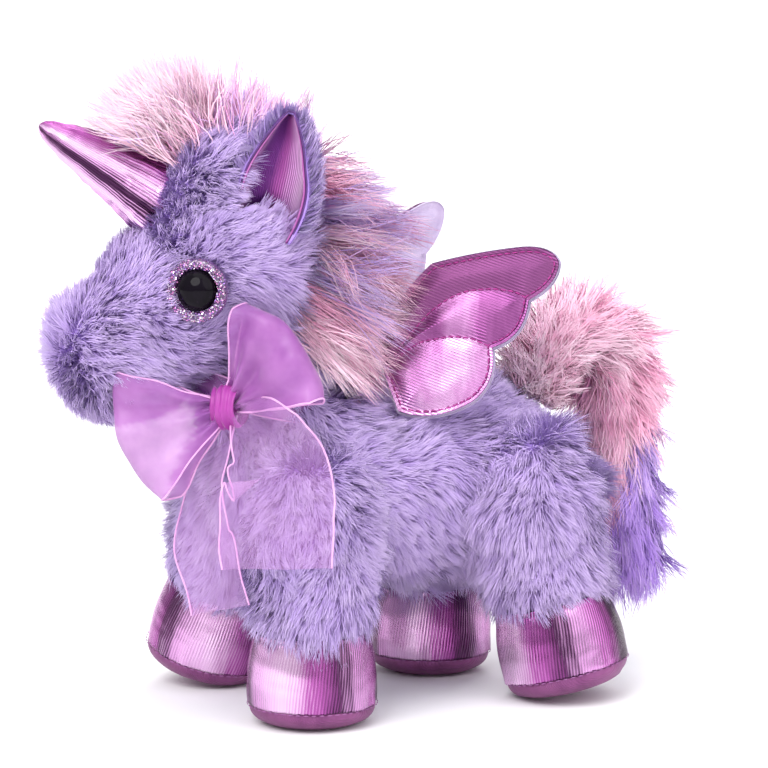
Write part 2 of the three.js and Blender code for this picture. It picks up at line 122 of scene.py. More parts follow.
level_sole = centre_of("hind_right_hoof_sole")
ORIGIN = Matrix.Translation((level_sole.x / MM - LEGS["hind_right"]["foot"][0],
                             level_sole.y / MM - LEGS["hind_right"]["foot"][1], 0))
HEAD = Matrix.Translation(HEAD_PIVOT) @ Matrix.Rotation(HEAD_TURN, 4, "Z")
IDENTITY = Matrix.Identity(4)
MIRROR = Matrix.Scale(-1, 4, (1, 0, 0))


def frame_at(at, z_axis, y_hint=(0, 0, 1)):
    """A frame whose Z axis points one way and whose Y axis leans towards the hint."""
    z = Vector(z_axis).normalized()
    x = Vector(y_hint).cross(z).normalized()
    y = z.cross(x)
    turn = Matrix((x, y, z)).transposed().to_4x4()
    return Matrix.Translation(at) @ turn


def leg_frame(leg):
    up = Vector((leg["top"][0] - leg["foot"][0], leg["top"][1] - leg["foot"][1], LEG_TOP_Z))
    tilt = up.angle(Vector((0, 0, 1)))
    lift = max(r * math.sin(tilt) - z * math.cos(tilt) for r, z in SOLE_PROFILE)
    return frame_at((leg["foot"][0], leg["foot"][1], lift), up, (0, -1, 0))


def on_side(side, matrix):
    return matrix if side > 0 else MIRROR @ matrix


BOW = frame_at(BOW_KNOT, BOW_FACING)


def moved(points, matrix):
    """Points in the toy's millimetres after a matrix."""
    m = np.array(matrix)
    return np.asarray(points, float) @ m[:3, :3].T + m[:3, 3]


def local_to(points, matrix):
    """Points in the frame's millimetres, turned into a piece's own axes."""
    return moved(points, (ORIGIN @ matrix).inverted())


def unit(vectors):
    return vectors / np.maximum(np.linalg.norm(vectors, axis=-1, keepdims=True), 1e-9)


def noise(points, size, seed, count=14):
    """A smooth random value for each point, mostly between -1 and 1, with features about size mm wide."""
    rng = np.random.default_rng(seed)
    waves = rng.normal(size=(count, 3)) * (2.2 / size)
    phases = rng.uniform(0, 2 * np.pi, count)
    return np.cos(np.asarray(points) @ waves.T + phases).sum(axis=1) * math.sqrt(2 / count) * 0.7


# ---- Meshes --------------------------------------------------------------------------------------------
CLOTH_UV = "cloth_mm"


def add_object(name, data):
    obj = bpy.data.objects.new(name, data)
    bpy.context.collection.objects.link(obj)
    return obj


def read_all(members, attribute, kind, width=1):
    """One attribute of every member of a mesh's collection, as an array."""
    values = np.empty(len(members) * width, kind)
    members.foreach_get(attribute, values)
    return values.reshape(-1, width) if width > 1 else values


def add_uv(mesh, uv, wrap):
    """Gives a mesh's corners the UV of their points. A round piece's UV goes on past wrap at its seam."""
    starts = read_all(mesh.polygons, "loop_start", np.int32)
    totals = read_all(mesh.polygons, "loop_total", np.int32)
    values = np.asarray(uv, float)[read_all(mesh.loops, "vertex_index", np.int32)]
    if wrap:
        highest = np.repeat(np.maximum.reduceat(values[:, 0], starts), totals)
        values[:, 0] += wrap * (highest - values[:, 0] > wrap / 2)
    layer = mesh.uv_layers.new(name=CLOTH_UV)
    layer.data.foreach_set("uv", values.astype(np.float32).reshape(-1))


def make_mesh(name, points, faces, material, matrix=IDENTITY, smooth=True, uv=None, wrap=0):
    """An object from points in millimetres and a list of faces, moved into the frame."""
    world = moved(points, ORIGIN @ matrix) * MM
    mesh = bpy.data.meshes.new(name)
    faces = [tuple(int(i) for i in face) for face in faces]
    if matrix.determinant() < 0:
        faces = [face[::-1] for face in faces]
    mesh.from_pydata(world.tolist(), [], faces)
    if uv is not None:
        add_uv(mesh, uv, wrap)
    mesh.validate()
    mesh.polygons.foreach_set("use_smooth", [smooth] * len(mesh.polygons))
    mesh.materials.append(material)
    return add_object(name, mesh)


def grid_faces(rows, columns, closed=False):
    """Quads of a grid of points stored row by row. A closed grid's columns wrap round."""
    across = columns if closed else columns - 1
    faces = []
    for i in range(rows - 1):
        for j in range(across):
            k = (j + 1) % columns
            faces.append((i * columns + j, i * columns + k, (i + 1) * columns + k, (i + 1) * columns + j))
    return faces


def round_faces(rows, columns, end_to_start=False):
    """Faces of a grid whose columns wrap round, and its two ends shut, or joined to each other."""
    first, last = range(columns), range((rows - 1) * columns, rows * columns)
    if end_to_start:
        ends = [(last[j], last[(j + 1) % columns], (j + 1) % columns, j) for j in first]
    else:
        ends = [tuple(first)[::-1], tuple(last)]
    return grid_faces(rows, columns, closed=True) + ends


def full_turn(count):
    return np.linspace(0, 2 * np.pi, count, endpoint=False)


def circle(radius, z, angles):
    """Points round the Z axis at one height. The radius is one number, or one for each angle."""
    return np.stack([radius * np.cos(angles), radius * np.sin(angles), np.full(len(angles), z)], axis=1)


def turned(profile, columns):
    """Points and faces of a profile of (radius, height) pairs turned about Z, with flat ends."""
    angles = full_turn(columns)
    points = np.concatenate([circle(r, z, angles) for r, z in profile])
    return points, round_faces(len(profile), columns)


def ring(profile, columns):
    """Points and faces of a closed profile of (radius, height) pairs that goes round to its own start."""
    return turned(profile, columns)[0], round_faces(len(profile), columns, end_to_start=True)


def thick_sheet(front, back, rows, columns, polar=False):
    """A closed solid between two like grids. A polar grid starts round its middle and its columns wrap."""
    size = rows * columns
    faces = grid_faces(rows, columns, closed=polar)
    faces += [tuple(i + size for i in face[::-1]) for face in faces]
    rim = [(rows - 1) * columns + j for j in range(columns)]
    if polar:
        faces += [tuple(range(columns))[::-1], tuple(size + j for j in range(columns))]
        rim.append(rim[0])
    else:
        right = [i * columns + columns - 1 for i in range(rows)]
        left = [i * columns for i in range(rows)]
        rim = list(range(columns)) + right[1:] + rim[-2::-1] + left[-2::-1]
        rim = rim[::-1]
    faces += [(a, a + size, b + size, b) for a, b in zip(rim[:-1], rim[1:])]
    return np.concatenate([front, back]), faces


def joined(parts):
    """Several (points, faces) as one."""
    points, faces, start = [], [], 0
    for part_points, part_faces in parts:
        points.append(part_points)
        faces += [tuple(i + start for i in face) for face in part_faces]
        start += len(part_points)
    return np.concatenate(points), faces


def tube(path, radius, sides=8):
    """A closed tube along a path. The radius is one number, or one for each point."""
    path = np.asarray(path, float)
    radius = np.broadcast_to(radius, len(path))
    tangents = unit(np.gradient(path, axis=0))
    normal = np.cross(tangents[0], (0.3, 0.5, 0.8))
    angles = full_turn(sides)[:, None]
    rings = []
    for point, tangent, r in zip(path, tangents, radius):
        normal = unit(normal - tangent * (normal @ tangent))
        rings.append(point + r * (np.cos(angles) * normal + np.sin(angles) * np.cross(tangent, normal)))
    return np.concatenate(rings), round_faces(len(path), sides)


def smoothed(path, rounds):
    path = np.array(path, float)
    for _ in range(rounds):
        path[1:-1] = (path[:-2] + 2 * path[1:-1] + path[2:]) / 4
    return path


def path_lengths(path):
    """The way along a polyline from its start to each of its points."""
    return np.concatenate([[0], np.cumsum(np.linalg.norm(np.diff(path, axis=0), axis=1))])


def points_along(path, distances):
    """Points at given distances along a polyline."""
    along = path_lengths(path)
    return np.stack([np.interp(distances, along, path[:, i]) for i in range(path.shape[1])], axis=1)


def stitches(path, length, pitch, radius):
    """A row of separate short stitches, arched a little, along a path of closely spaced points."""
    swell = radius * np.array((0.35, 0.85, 1.0, 0.85, 0.35))
    parts = []
    for start in np.arange(0, path_lengths(path)[-1] - length, pitch):
        parts.append(tube(points_along(path, np.linspace(start, start + length, len(swell))), swell, 6))
    return joined(parts)


def resampled(profile, count):
    """The same polyline profile as a smooth one of evenly spaced points."""
    profile = np.array(profile, float)
    return smoothed(points_along(profile, np.linspace(0, path_lengths(profile)[-1], count)), 6)


def modifier_result(obj):
    """Applies an object's modifiers to its own mesh."""
    evaluated = obj.evaluated_get(bpy.context.evaluated_depsgraph_get())
    mesh = bpy.data.meshes.new_from_object(evaluated)
    old = obj.data
    obj.modifiers.clear()
    obj.data = mesh
    bpy.data.meshes.remove(old)


def mesh_arrays(obj):
    """Points in millimetres of the frame, triangles and vertex normals of an object's mesh."""
    mesh = obj.data
    mesh.calc_loop_triangles()
    return (read_all(mesh.vertices, "co", np.float32, 3) / MM,
            read_all(mesh.loop_triangles, "vertices", np.int32, 3),
            read_all(mesh.vertices, "normal", np.float32, 3))


def sphere_points(rows, columns):
    lat, lon = np.linspace(-np.pi / 2, np.pi / 2, rows), full_turn(columns)
    return np.array([(math.cos(a) * math.cos(b), math.cos(a) * math.sin(b), math.sin(a))
                     for a in lat for b in lon]), grid_faces(rows, columns, closed=True)


SPHERE = sphere_points(24, 36)


def lump_mesh(parts, name, material, voxel, smoothing):
    """Closed parts, each (points, faces) in the toy's millimetres, melted into one smooth form."""
    obj = make_mesh(name, *joined(parts), material)
    remesh = obj.modifiers.new("remesh", "REMESH")
    remesh.mode = "VOXEL"
    remesh.voxel_size = voxel * MM
    remesh.use_smooth_shade = True
    smooth = obj.modifiers.new("smooth", "SMOOTH")
    smooth.factor = 0.5
    smooth.iterations = smoothing
    modifier_result(obj)
    return obj


def ellipsoids(lumps, grow, matrix=IDENTITY):
    points, faces = SPHERE
    return [(moved(points * (np.array(r) + grow) + np.array(at), matrix), faces) for at, r in lumps]


def leg_form(leg, grow):
    profile = [(0.01, HOOF_TOP_Z - 2), (HOOF_TOP_RADIUS - 2 + grow, HOOF_TOP_Z - 2),
               (LEG_RADIUS + grow, HOOF_TOP_Z + 7), (LEG_RADIUS + grow, 46), (leg["shoulder"] + grow, 62),
               (leg["shoulder"] - 6 + grow, 80), (0.01, 86 + grow)]
    points, faces = turned(profile, 48)
    return moved(points, leg_frame(leg)), faces


# ---- Materials -----------------------------------------------------------------------------------------
def fill_ramp(node, stops):
    elements = node.color_ramp.elements
    while len(elements) < len(stops):
        elements.new(0.5)
    for element, (position, color) in zip(elements, stops):
        element.position = position
        element.color = (*color, 1)


class Shader:
    """A Principled material and short ways to add nodes to it."""

    def __init__(self, name, color, roughness, **constants):
        self.material = bpy.data.materials.new(name)
        self.material.use_nodes = True
        self.tree = self.material.node_tree
        self.surface = self.tree.nodes["Principled BSDF"]
        self.surface.inputs["Base Color"].default_value = (*color, 1)
        self.surface.inputs["Roughness"].default_value = roughness
        for key, value in constants.items():
            self.surface.inputs[key.replace("_", " ")].default_value = value

    def node(self, kind, **inputs):
        node = self.tree.nodes.new("ShaderNode" + kind)
        for key, value in inputs.items():
            node.inputs[key.replace("_", " ")].default_value = value
        return node

    def link(self, output, target):
        self.tree.links.new(output, target)

    def ramp(self, source, stops):
        ramp = self.node("ValToRGB")
        fill_ramp(ramp, stops)
        self.link(source, ramp.inputs["Fac"])
        return ramp.outputs["Color"]

    def mix(self, factor, first, second):
        mix = self.node("Mix")
        mix.data_type = "RGBA"
        self.link(factor, mix.inputs["Factor"])
        self.link(first, mix.inputs["A"])
        self.link(second, mix.inputs["B"])
        return mix.outputs["Result"]

    def times_plus(self, value, times, extra):
        """A value times a number, plus a number or another value."""
        node = self.node("Math")
        node.operation = "MULTIPLY_ADD"
        self.link(value, node.inputs[0])
        node.inputs[1].default_value = times
        if isinstance(extra, float):
            node.inputs[2].default_value = extra
        else:
            self.link(extra, node.inputs[2])
        return node.outputs[0]

    def uv(self, name):
        node = self.node("UVMap")
        node.uv_map = name
        return node.outputs["UV"]

    def split(self, vector):
        node = self.node("SeparateXYZ")
        self.link(vector, node.inputs["Vector"])
        return node.outputs

    def mapped(self, vector, **inputs):
        node = self.node("Mapping", **inputs)
        self.link(vector, node.inputs["Vector"])
        return node.outputs["Vector"]

    def texture(self, kind, vector=None, **inputs):
        """A texture's outputs, read at a vector, or else at the object's own coordinates."""
        node = self.node("Tex" + kind, **inputs)
        self.link(vector or self.node("TexCoord").outputs["Object"], node.inputs["Vector"])
        return node.outputs

    def bump(self, height, distance, strength):
        bump = self.node("Bump", Strength=strength, Distance=distance * MM)
        self.link(height, bump.inputs["Height"])
        self.link(bump.outputs["Normal"], self.surface.inputs["Normal"])

    def color(self, output):
        self.link(output, self.surface.inputs["Base Color"])


STRAND_UV = "OFBake"


def strand_material(name, across, along, first, second, **looks):
    """Flat strands: u (X) tells them apart, and v (Y) runs from root to tip.

    Two ramps run along one of them, and the other mixes them.
    """
    shader = Shader(name, **looks)
    split = shader.split(shader.uv(STRAND_UV))
    ramps = [shader.ramp(split[along], stops) for stops in (first, second)]
    shader.color(shader.mix(split[across], *ramps))
    return shader.material


def foil_material(name, light, deep, dark, rib=RIB, tilt=0.0, roughness=0.24, streak=(0.5, 0.05),
                  stops=(0.32, 0.44, 0.58), painted_bands=(), wrap=1.0):
    """Metallic foil on a ribbed knit: ribs in relief, and streaks of light and dark tone drawn out along one
    direction, which are painted reflections of the lights.

    Stripes of tone at shares of the way across, if given, are painted reflections too, frayed by the streaks
    and by the ribs.
    """
    shader = Shader(name, light, roughness, Metallic=0.9)
    uv = shader.uv(CLOTH_UV)
    streaks = shader.texture("Noise", shader.mapped(uv, Scale=(*streak, 1), Rotation=(0, 0, tilt)),
                             Scale=1.0, Detail=5.0, Roughness=0.62)
    ribs = shader.texture("Wave", shader.mapped(uv, Rotation=(0, 0, tilt)),
                          Scale=0.314 / rib, Distortion=0.8, Detail=1.0, Detail_Scale=0.6)
    if painted_bands:
        frayed = shader.times_plus(streaks["Fac"], 0.11, -0.055)
        share = shader.times_plus(shader.split(uv)["X"], 1 / wrap, frayed)
        share = shader.times_plus(share, 1.0, shader.times_plus(ribs["Fac"], 0.03, -0.015))
        wrapped = shader.node("Math")
        wrapped.operation = "FRACT"
        shader.link(share, wrapped.inputs[0])
        shader.color(shader.ramp(wrapped.outputs[0], painted_bands))
    else:
        shader.color(shader.ramp(streaks["Fac"], list(zip(stops, (dark, deep, light)))))
    shader.bump(ribs["Fac"], 0.16, 0.75)
    return shader.material


def woven_material(name, color, deep, pitch, roughness, cloud=(260.0, 5.0), stops=(0.35, 0.65),
                   relief=(0.15, 0.5), **constants):
    """Plain fabric with a fine weave in relief and small changes of tone."""
    shader = Shader(name, color, roughness, **constants)
    tone = shader.texture("Noise", Scale=cloud[0], Detail=cloud[1])
    shader.color(shader.ramp(tone["Fac"], list(zip(stops, (deep, color)))))
    shader.bump(shader.texture("Voronoi", Scale=1 / (pitch * MM))["Distance"], *relief)
    return shader.material


# Each strand is darker at its root than at its tip: painted shade deep in the pile, between the strands. The
# two ramps differ at random, strand by strand.
FUR = strand_material(
    "lavender_pile", "X", "Y",
    first=[(0.0, (0.36, 0.22, 0.59)), (0.45, (0.45, 0.30, 0.69)), (1.0, (0.55, 0.41, 0.76))],
    second=[(0.0, (0.43, 0.28, 0.66)), (0.4, (0.55, 0.40, 0.76)), (1.0, (0.68, 0.54, 0.83))],
    color=(0.68, 0.54, 0.83), roughness=0.62, Sheen_Weight=0.25, Sheen_Roughness=0.5, Specular_IOR_Level=0.25)
DYES = (0.0, 0.25, 0.5, 0.72, 1.0)          # cream, light pink, pink, lilac, purple
# Each dye runs along a strand, deeper at the root than at the tip: the deeper roots are painted shade among
# the strands.
HAIR = strand_material(
    "dyed_long_pile_painted_root_shade", "Y", "X",
    first=list(zip(DYES, [(0.94, 0.62, 0.76), (0.94, 0.46, 0.68), (0.91, 0.30, 0.56), (0.56, 0.36, 0.82),
                          (0.33, 0.15, 0.66)])),
    second=list(zip(DYES, [(0.97, 0.84, 0.91), (0.97, 0.68, 0.82), (0.95, 0.46, 0.66), (0.76, 0.56, 0.94),
                         (0.48, 0.27, 0.83)])),
    color=(0.97, 0.84, 0.91), roughness=0.5, Sheen_Weight=0.25, Sheen_Roughness=0.4)
BACKING = woven_material("plush_backing", (0.44, 0.28, 0.74), (0.37, 0.22, 0.66), 0.6, 0.9)
HAIR_BACKING = woven_material("hair_backing", (0.80, 0.40, 0.62), (0.66, 0.30, 0.56), 0.6, 0.9)
EDGE_CORD = woven_material("ear_edge_thread", (0.11, 0.03, 0.19), (0.07, 0.02, 0.13), 0.4, 0.7)
# Tones laid round the horn, hooves and ear lining as painted reflections of the lights: the palest is a
# painted highlight, the darkest a painted dark reflection.
PAINTED_HIGHLIGHT, MID, DEEP, PAINTED_DARK = (0.86, 0.58, 0.84), (0.66, 0.33, 0.64), (0.42, 0.10, 0.38), (0.055, 0.015, 0.055)
HORN_WRAP, HOOF_WRAP, EAR_WRAP = 72 * RIB, 130 * RIB, 44
# Lengthwise stripes of tone round the horn: painted reflections of the lights, pale painted highlights beside
# near-black painted reflections.
HORN_FOIL = foil_material(
    "horn_foil", MID, DEEP, PAINTED_DARK, streak=(0.6, 0.05), wrap=HORN_WRAP,
    painted_bands=[(0.0, DEEP), (0.03, MID), (0.10, PAINTED_HIGHLIGHT), (0.135, MID), (0.155, PAINTED_DARK), (0.205, PAINTED_DARK), (0.235, MID),
           (0.27, PAINTED_HIGHLIGHT), (0.31, MID), (0.36, DEEP), (0.46, DEEP), (0.53, PAINTED_DARK), (0.60, MID), (0.68, PAINTED_HIGHLIGHT),
           (0.76, DEEP), (0.86, PAINTED_DARK), (0.93, MID), (1.0, DEEP)])
# Upright stripes of tone round each hoof: painted reflections of the lights, pale painted highlights between
# dark ones.
HOOF_FOIL = foil_material(
    "hoof_foil", MID, DEEP, PAINTED_DARK, tilt=0.12, streak=(0.3, 0.03), wrap=HOOF_WRAP,
    painted_bands=[(0.0, MID), (0.06, PAINTED_HIGHLIGHT), (0.10, MID), (0.17, DEEP), (0.22, PAINTED_DARK), (0.27, MID), (0.36, PAINTED_HIGHLIGHT),
           (0.43, DEEP), (0.50, PAINTED_DARK), (0.56, MID), (0.62, DEEP), (0.68, PAINTED_DARK), (0.74, PAINTED_DARK), (0.77, MID),
           (0.82, PAINTED_HIGHLIGHT), (0.87, MID), (0.90, PAINTED_DARK), (0.94, PAINTED_DARK), (0.97, MID), (1.0, MID)])
# Stripes round the lining's trough: a pale painted highlight, and near-black painted shade where the hollow
# lies.
EAR_FOIL = foil_material(
    "ear_foil", MID, DEEP, PAINTED_DARK, roughness=0.3, streak=(0.4, 0.05), wrap=EAR_WRAP,
    painted_bands=[(0.0, PAINTED_DARK), (0.06, DEEP), (0.16, MID), (0.26, PAINTED_HIGHLIGHT), (0.38, MID), (0.50, DEEP),
           (0.60, (0.16, 0.04, 0.22)), (0.76, (0.12, 0.03, 0.18)), (0.88, MID), (1.0, DEEP)])
WING_FOIL = foil_material("wing_foil", (0.66, 0.38, 0.64), (0.50, 0.22, 0.47), (0.30, 0.08, 0.27),
                          tilt=-1.22, streak=(0.05, 0.02), stops=(0.36, 0.50, 0.62))
# The middle feather's foil is a darker copy of the lowest feather's: painted shade on the middle feather.
WING_MIDDLE_SHADED_FOIL = foil_material("wing_middle_foil", (0.50, 0.23, 0.47), (0.30, 0.09, 0.27),
                                 (0.21, 0.055, 0.19), tilt=-1.22, roughness=0.32, streak=(0.05, 0.02),
                                 stops=(0.40, 0.52, 0.66))
WING_TOP_FOIL = foil_material("wing_top_foil", (0.225, 0.068, 0.195), (0.205, 0.06, 0.18), (0.18, 0.05, 0.16),
                              tilt=-1.22, roughness=0.5, streak=(0.05, 0.02))
SOLE = foil_material("sole_satin", (0.29, 0.095, 0.24), (0.25, 0.08, 0.21), (0.20, 0.06, 0.17), rib=0.5,
                     roughness=0.42, streak=(0.1, 0.1))
FELT = woven_material("felt", (0.64, 0.54, 0.76), (0.56, 0.46, 0.70), 0.35, 0.95, Sheen_Weight=0.3)
THREAD = woven_material("magenta_thread", (0.42, 0.03, 0.26), (0.30, 0.02, 0.20), 0.3, 0.55)
SEAM_THREAD = woven_material("mauve_thread", (0.34, 0.12, 0.32), (0.26, 0.08, 0.25), 0.3, 0.6)
SATIN = woven_material("satin_edge", (0.80, 0.42, 0.74), (0.68, 0.30, 0.64), 0.4, 0.35, Sheen_Weight=0.3)
FIBRE = woven_material("white_fibre", (0.88, 0.87, 0.85), (0.78, 0.77, 0.75), 0.9, 1.0)
WASHER = woven_material("white_plastic", (0.85, 0.85, 0.86), (0.82, 0.82, 0.83), 1.0, 0.45)
PUPIL = woven_material("gloss_black", (0.006, 0.004, 0.008), (0.003, 0.002, 0.004), 6.0, 0.06,
                       Specular_IOR_Level=0.09)
RIM = woven_material("glitter_resin", (0.12, 0.04, 0.16), (0.06, 0.02, 0.10), 0.5, 0.25, Coat_Weight=1.0)


def flake_material(index, color):
    """A glitter flake's foil: each flake catches a slightly different tone."""
    shader = Shader(f"glitter_flake_{index}", color, 0.2, Metallic=1.0)
    tone = shader.texture("Noise", Scale=900.0, Detail=1.0)
    deep = tuple(channel * 0.6 for channel in color)
    shader.color(shader.ramp(tone["Fac"], [(0.35, deep), (0.6, color)]))
    return shader.material


FLAKES = [flake_material(i, color)
          for i, color in enumerate([(0.80, 0.72, 0.86), (0.75, 0.28, 0.62), (0.30, 0.16, 0.5)])]


def organza_material(name, opacity, deep, light):
    """Sheer ribbon: a fine open weave that lets part of the light through."""
    return woven_material(name, light, deep, 0.5, 0.4, cloud=(90.0, 3.0), stops=(0.3, 0.7),
                          relief=(0.05, 0.4), Sheen_Weight=0.5, Sheen_Roughness=0.3, Alpha=opacity)


ORGANZA = organza_material("organza", 0.62, (0.33, 0.085, 0.38), (0.50, 0.19, 0.54))
TAIL_ORGANZA = organza_material("tail_organza", 0.30, (0.46, 0.18, 0.52), (0.62, 0.34, 0.68))
KNOT_ORGANZA = organza_material("knot_organza", 0.92, (0.34, 0.03, 0.29), (0.48, 0.07, 0.42))


# ---- Pile ----------------------------------------------------------------------------------------------
def sample_surface(points, triangles, normals, count, rng):
    """Random points on a mesh, evenly by area, with smooth normals."""
    a, b, c = (points[triangles[:, i]] for i in range(3))
    area = np.linalg.norm(np.cross(b - a, c - a), axis=1)
    pick = np.searchsorted(np.cumsum(area), rng.uniform(0, area.sum(), count))
    pick = np.minimum(pick, len(triangles) - 1)
    u, v = rng.uniform(size=(2, count))
    flip = u + v > 1
    u[flip], v[flip] = 1 - u[flip], 1 - v[flip]
    w = np.stack([1 - u - v, u, v], axis=1)[:, :, None]
    roots = (points[triangles[pick]] * w).sum(axis=1)
    return roots, unit((normals[triangles[pick]] * w).sum(axis=1))


def tree_of(points):
    tree = kdtree.KDTree(len(points))
    for i, point in enumerate(points):
        tree.insert(point, i)
    tree.balance()
    return tree


def clump_index(roots, centres):
    """The number of the nearest clump centre to each root."""
    tree = tree_of(centres)
    return np.array([tree.find(root)[1] for root in roots.tolist()])


STRAND_SEGMENTS, STRAND_DROOP = 3, 0.35


def strand_paths(roots, normals, comb, length, lean, clump, rng, gather=0.45, curl=0.0):
    """Centre lines of strands: rows of points from root to tip, gathered towards their clump's tip."""
    side = comb - (comb * normals).sum(axis=1, keepdims=True) * normals
    side = unit(side + rng.normal(size=side.shape) * 0.12)
    lean = lean + rng.normal(size=len(roots)) * 0.12

    def tilted(angle):
        return unit(normals * np.cos(angle)[:, None] + side * np.sin(angle)[:, None])

    start, end = tilted(lean * 0.75), tilted(lean * (1 + STRAND_DROOP))
    return bent_paths(roots, start, end, length, clump, rng, STRAND_SEGMENTS, gather, curl)


def bent_paths(roots, start, end, length, clump, rng, segments, gather, curl):
    """Curves that leave their roots one way and end another, gathered towards their clump's tip."""
    t = np.linspace(0, 1, segments + 1)[None, :, None]
    reach = length[:, None, None]
    paths = roots[:, None, :] + reach * (start[:, None, :] * (t - t * t / 2) + end[:, None, :] * t * t / 2)
    if curl:
        wave = rng.normal(size=(len(roots), 1, 3)) * curl
        paths = paths + wave * np.sin(t * np.pi * 1.6)
    groups = clump.max() + 1
    weight = np.bincount(clump, minlength=groups)[:, None]
    tips = np.stack([np.bincount(clump, paths[:, -1, i], groups) for i in range(3)], axis=1)
    tips = tips / np.maximum(weight, 1)
    pull = (tips[clump] - paths[:, -1, :])[:, None, :] * (t ** 1.5) * gather
    return paths + pull * rng.uniform(0.6, 1.15, (len(roots), 1, 1))


def strands_object(name, paths, normals, shade, width, material, rng, roll=0.8, softness=0.75):
    """One mesh of flat tapering strands. Shade is each strand's u, and v runs along it."""
    count, rows, _ = paths.shape
    last = rows - 1
    tangent = unit(np.gradient(paths, axis=1))
    outward = normals[:, None, :] - tangent * (tangent * normals[:, None, :]).sum(axis=2, keepdims=True)
    outward = unit(outward + 1e-6)
    side = np.cross(tangent, outward)
    angle = rng.uniform(-roll, roll, (count, 1, 1))
    flat_side = side * np.cos(angle) + outward * np.sin(angle)
    facing = outward * np.cos(angle) - side * np.sin(angle)
    taper = (1 - (np.arange(last) / last) ** 2 * 0.7)[None, :, None]
    half = flat_side[:, :last] * ((width / 2).reshape(-1, 1, 1) * taper)
    blended = unit(normals[:, None, :] * softness + facing * (1 - softness) + tangent * 0.15)

    def each_strand(left, right, tip):
        """Two edges and a tip as one row of points for each strand."""
        values = np.empty((count, 2 * last + 1, 3), np.float32)
        values[:, 0:-1:2], values[:, 1:-1:2], values[:, -1] = left, right, tip
        return values

    points = each_strand(paths[:, :last] - half, paths[:, :last] + half, paths[:, -1])
    shading = each_strand(blended[:, :last], blended[:, :last], blended[:, -1])
    one = []
    for i in range(last - 1):
        one += [(2 * i, 2 * i + 1, 2 * i + 3), (2 * i, 2 * i + 3, 2 * i + 2)]
    one.append((2 * last - 2, 2 * last - 1, 2 * last))
    one = np.array(one, np.int32)
    starts = np.arange(count, dtype=np.int32) * (2 * last + 1)
    triangles = (one[None] + starts[:, None, None]).reshape(-1, 3)
    along = np.concatenate([np.repeat(np.arange(last) / last, 2), [1.0]])
    uv = np.stack([np.repeat(np.clip(shade, 0.01, 0.99)[:, None], 2 * last + 1, axis=1),
                   np.repeat(np.clip(along, 0.01, 0.99)[None], count, axis=0)], axis=2).reshape(-1, 2)
    mesh = bpy.data.meshes.new(name)
    mesh.vertices.add(count * (2 * last + 1))
    mesh.vertices.foreach_set("co", (points.reshape(-1) * MM).astype(np.float32))
    mesh.loops.add(triangles.size)
    mesh.loops.foreach_set("vertex_index", triangles.reshape(-1))
    mesh.polygons.add(len(triangles))
    mesh.polygons.foreach_set("loop_start", np.arange(0, triangles.size, 3, dtype=np.int32))
    mesh.polygons.foreach_set("use_smooth", np.ones(len(triangles), bool))
    mesh.update(calc_edges=True)
    layer = mesh.uv_layers.new(name=STRAND_UV)
    layer.data.foreach_set("uv", uv[triangles.reshape(-1)].astype(np.float32).reshape(-1))
    mesh.normals_split_custom_set_from_vertices(shading.reshape(-1, 3))
    mesh.materials.append(material)
    return add_object(name, mesh)


# ---- Plush skin and its short pile ----------------------------------------------------------------
def attach(obj, body, slot, *replaced):
    """Every piece of the toy rides on a body and may stand for CAD nodes. The slot is not used."""
    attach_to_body(obj, body)
    if replaced:
        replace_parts(obj, *replaced)
    return obj


def lump_depth(points, lumps, matrix):
    """How far inside the nearest of some ellipsoids each point is, 1 at the surface and less inside."""
    local = local_to(points, matrix)
    return np.min([np.linalg.norm((local - np.array(at)) / np.array(r), axis=1) for at, r in lumps], axis=0)


def regions_of(points):
    """Which plush part each point of the whole skin belongs to."""
    names = ["head", "body"] + [f"{leg}_leg" for leg in LEGS]
    depths = [lump_depth(points, HEAD_LUMPS, HEAD), lump_depth(points, BODY_LUMPS, IDENTITY) * 1.02]
    for leg in LEGS.values():
        local = local_to(points, leg_frame(leg))
        radial = np.linalg.norm(local[:, :2], axis=1) / LEG_RADIUS
        depths.append(np.where(local[:, 2] < 70, radial, 9.0))
    return names, np.argmin(depths, axis=0)


def plush_parts():
    parts = ellipsoids(BODY_LUMPS, -SKIN_INSET) + ellipsoids(HEAD_LUMPS, -SKIN_INSET, HEAD)
    return parts + [leg_form(leg, -SKIN_INSET) for leg in LEGS.values()]


def build_plush():
    """One sewn skin, parted at its seams into head, body and legs. Returns the whole skin's arrays."""
    whole = lump_mesh(plush_parts(), "whole_skin", BACKING, 2.2, 10)
    press_ear_hollows(whole)
    points, triangles, normals = mesh_arrays(whole)
    names, region = regions_of(points[triangles].mean(axis=1))
    for i, name in enumerate(names):
        chosen = triangles[region == i]
        used, renumbered = np.unique(chosen, return_inverse=True)
        local = local_to(points[used], IDENTITY)
        skin = make_mesh(f"{name}_plush", local, renumbered.reshape(-1, 3), BACKING)
        thick = skin.modifiers.new("backing", "SOLIDIFY")
        thick.thickness = 0.8 * MM
        thick.offset = -1
        modifier_result(skin)
        attach(skin, "root", "plush", f"{name}_skin")
    bpy.data.objects.remove(whole)
    return points, triangles, normals


def head_local(points):
    return local_to(points, HEAD)


def pile_direction(roots, region, names):
    """The nap: back from the nose on the head, down and back on the body, down on the legs."""
    local = head_local(roots)
    nose = unit(local - np.array((0, -84, 108)))
    head_way = nose * 0.9 + np.array((0, 0.25, -0.25))
    head_way = head_way @ np.array(HEAD)[:3, :3].T
    way = np.tile(np.array((0.0, 0.55, -0.8)), (len(roots), 1))
    way[region == names.index("head")] = head_way[region == names.index("head")]
    legs = region >= 2
    way[legs] = (0, 0.15, -1.0)
    swirl = np.stack([noise(roots, 16, seed) for seed in (11, 12, 13)], axis=1)
    return way + 0.5 * swirl


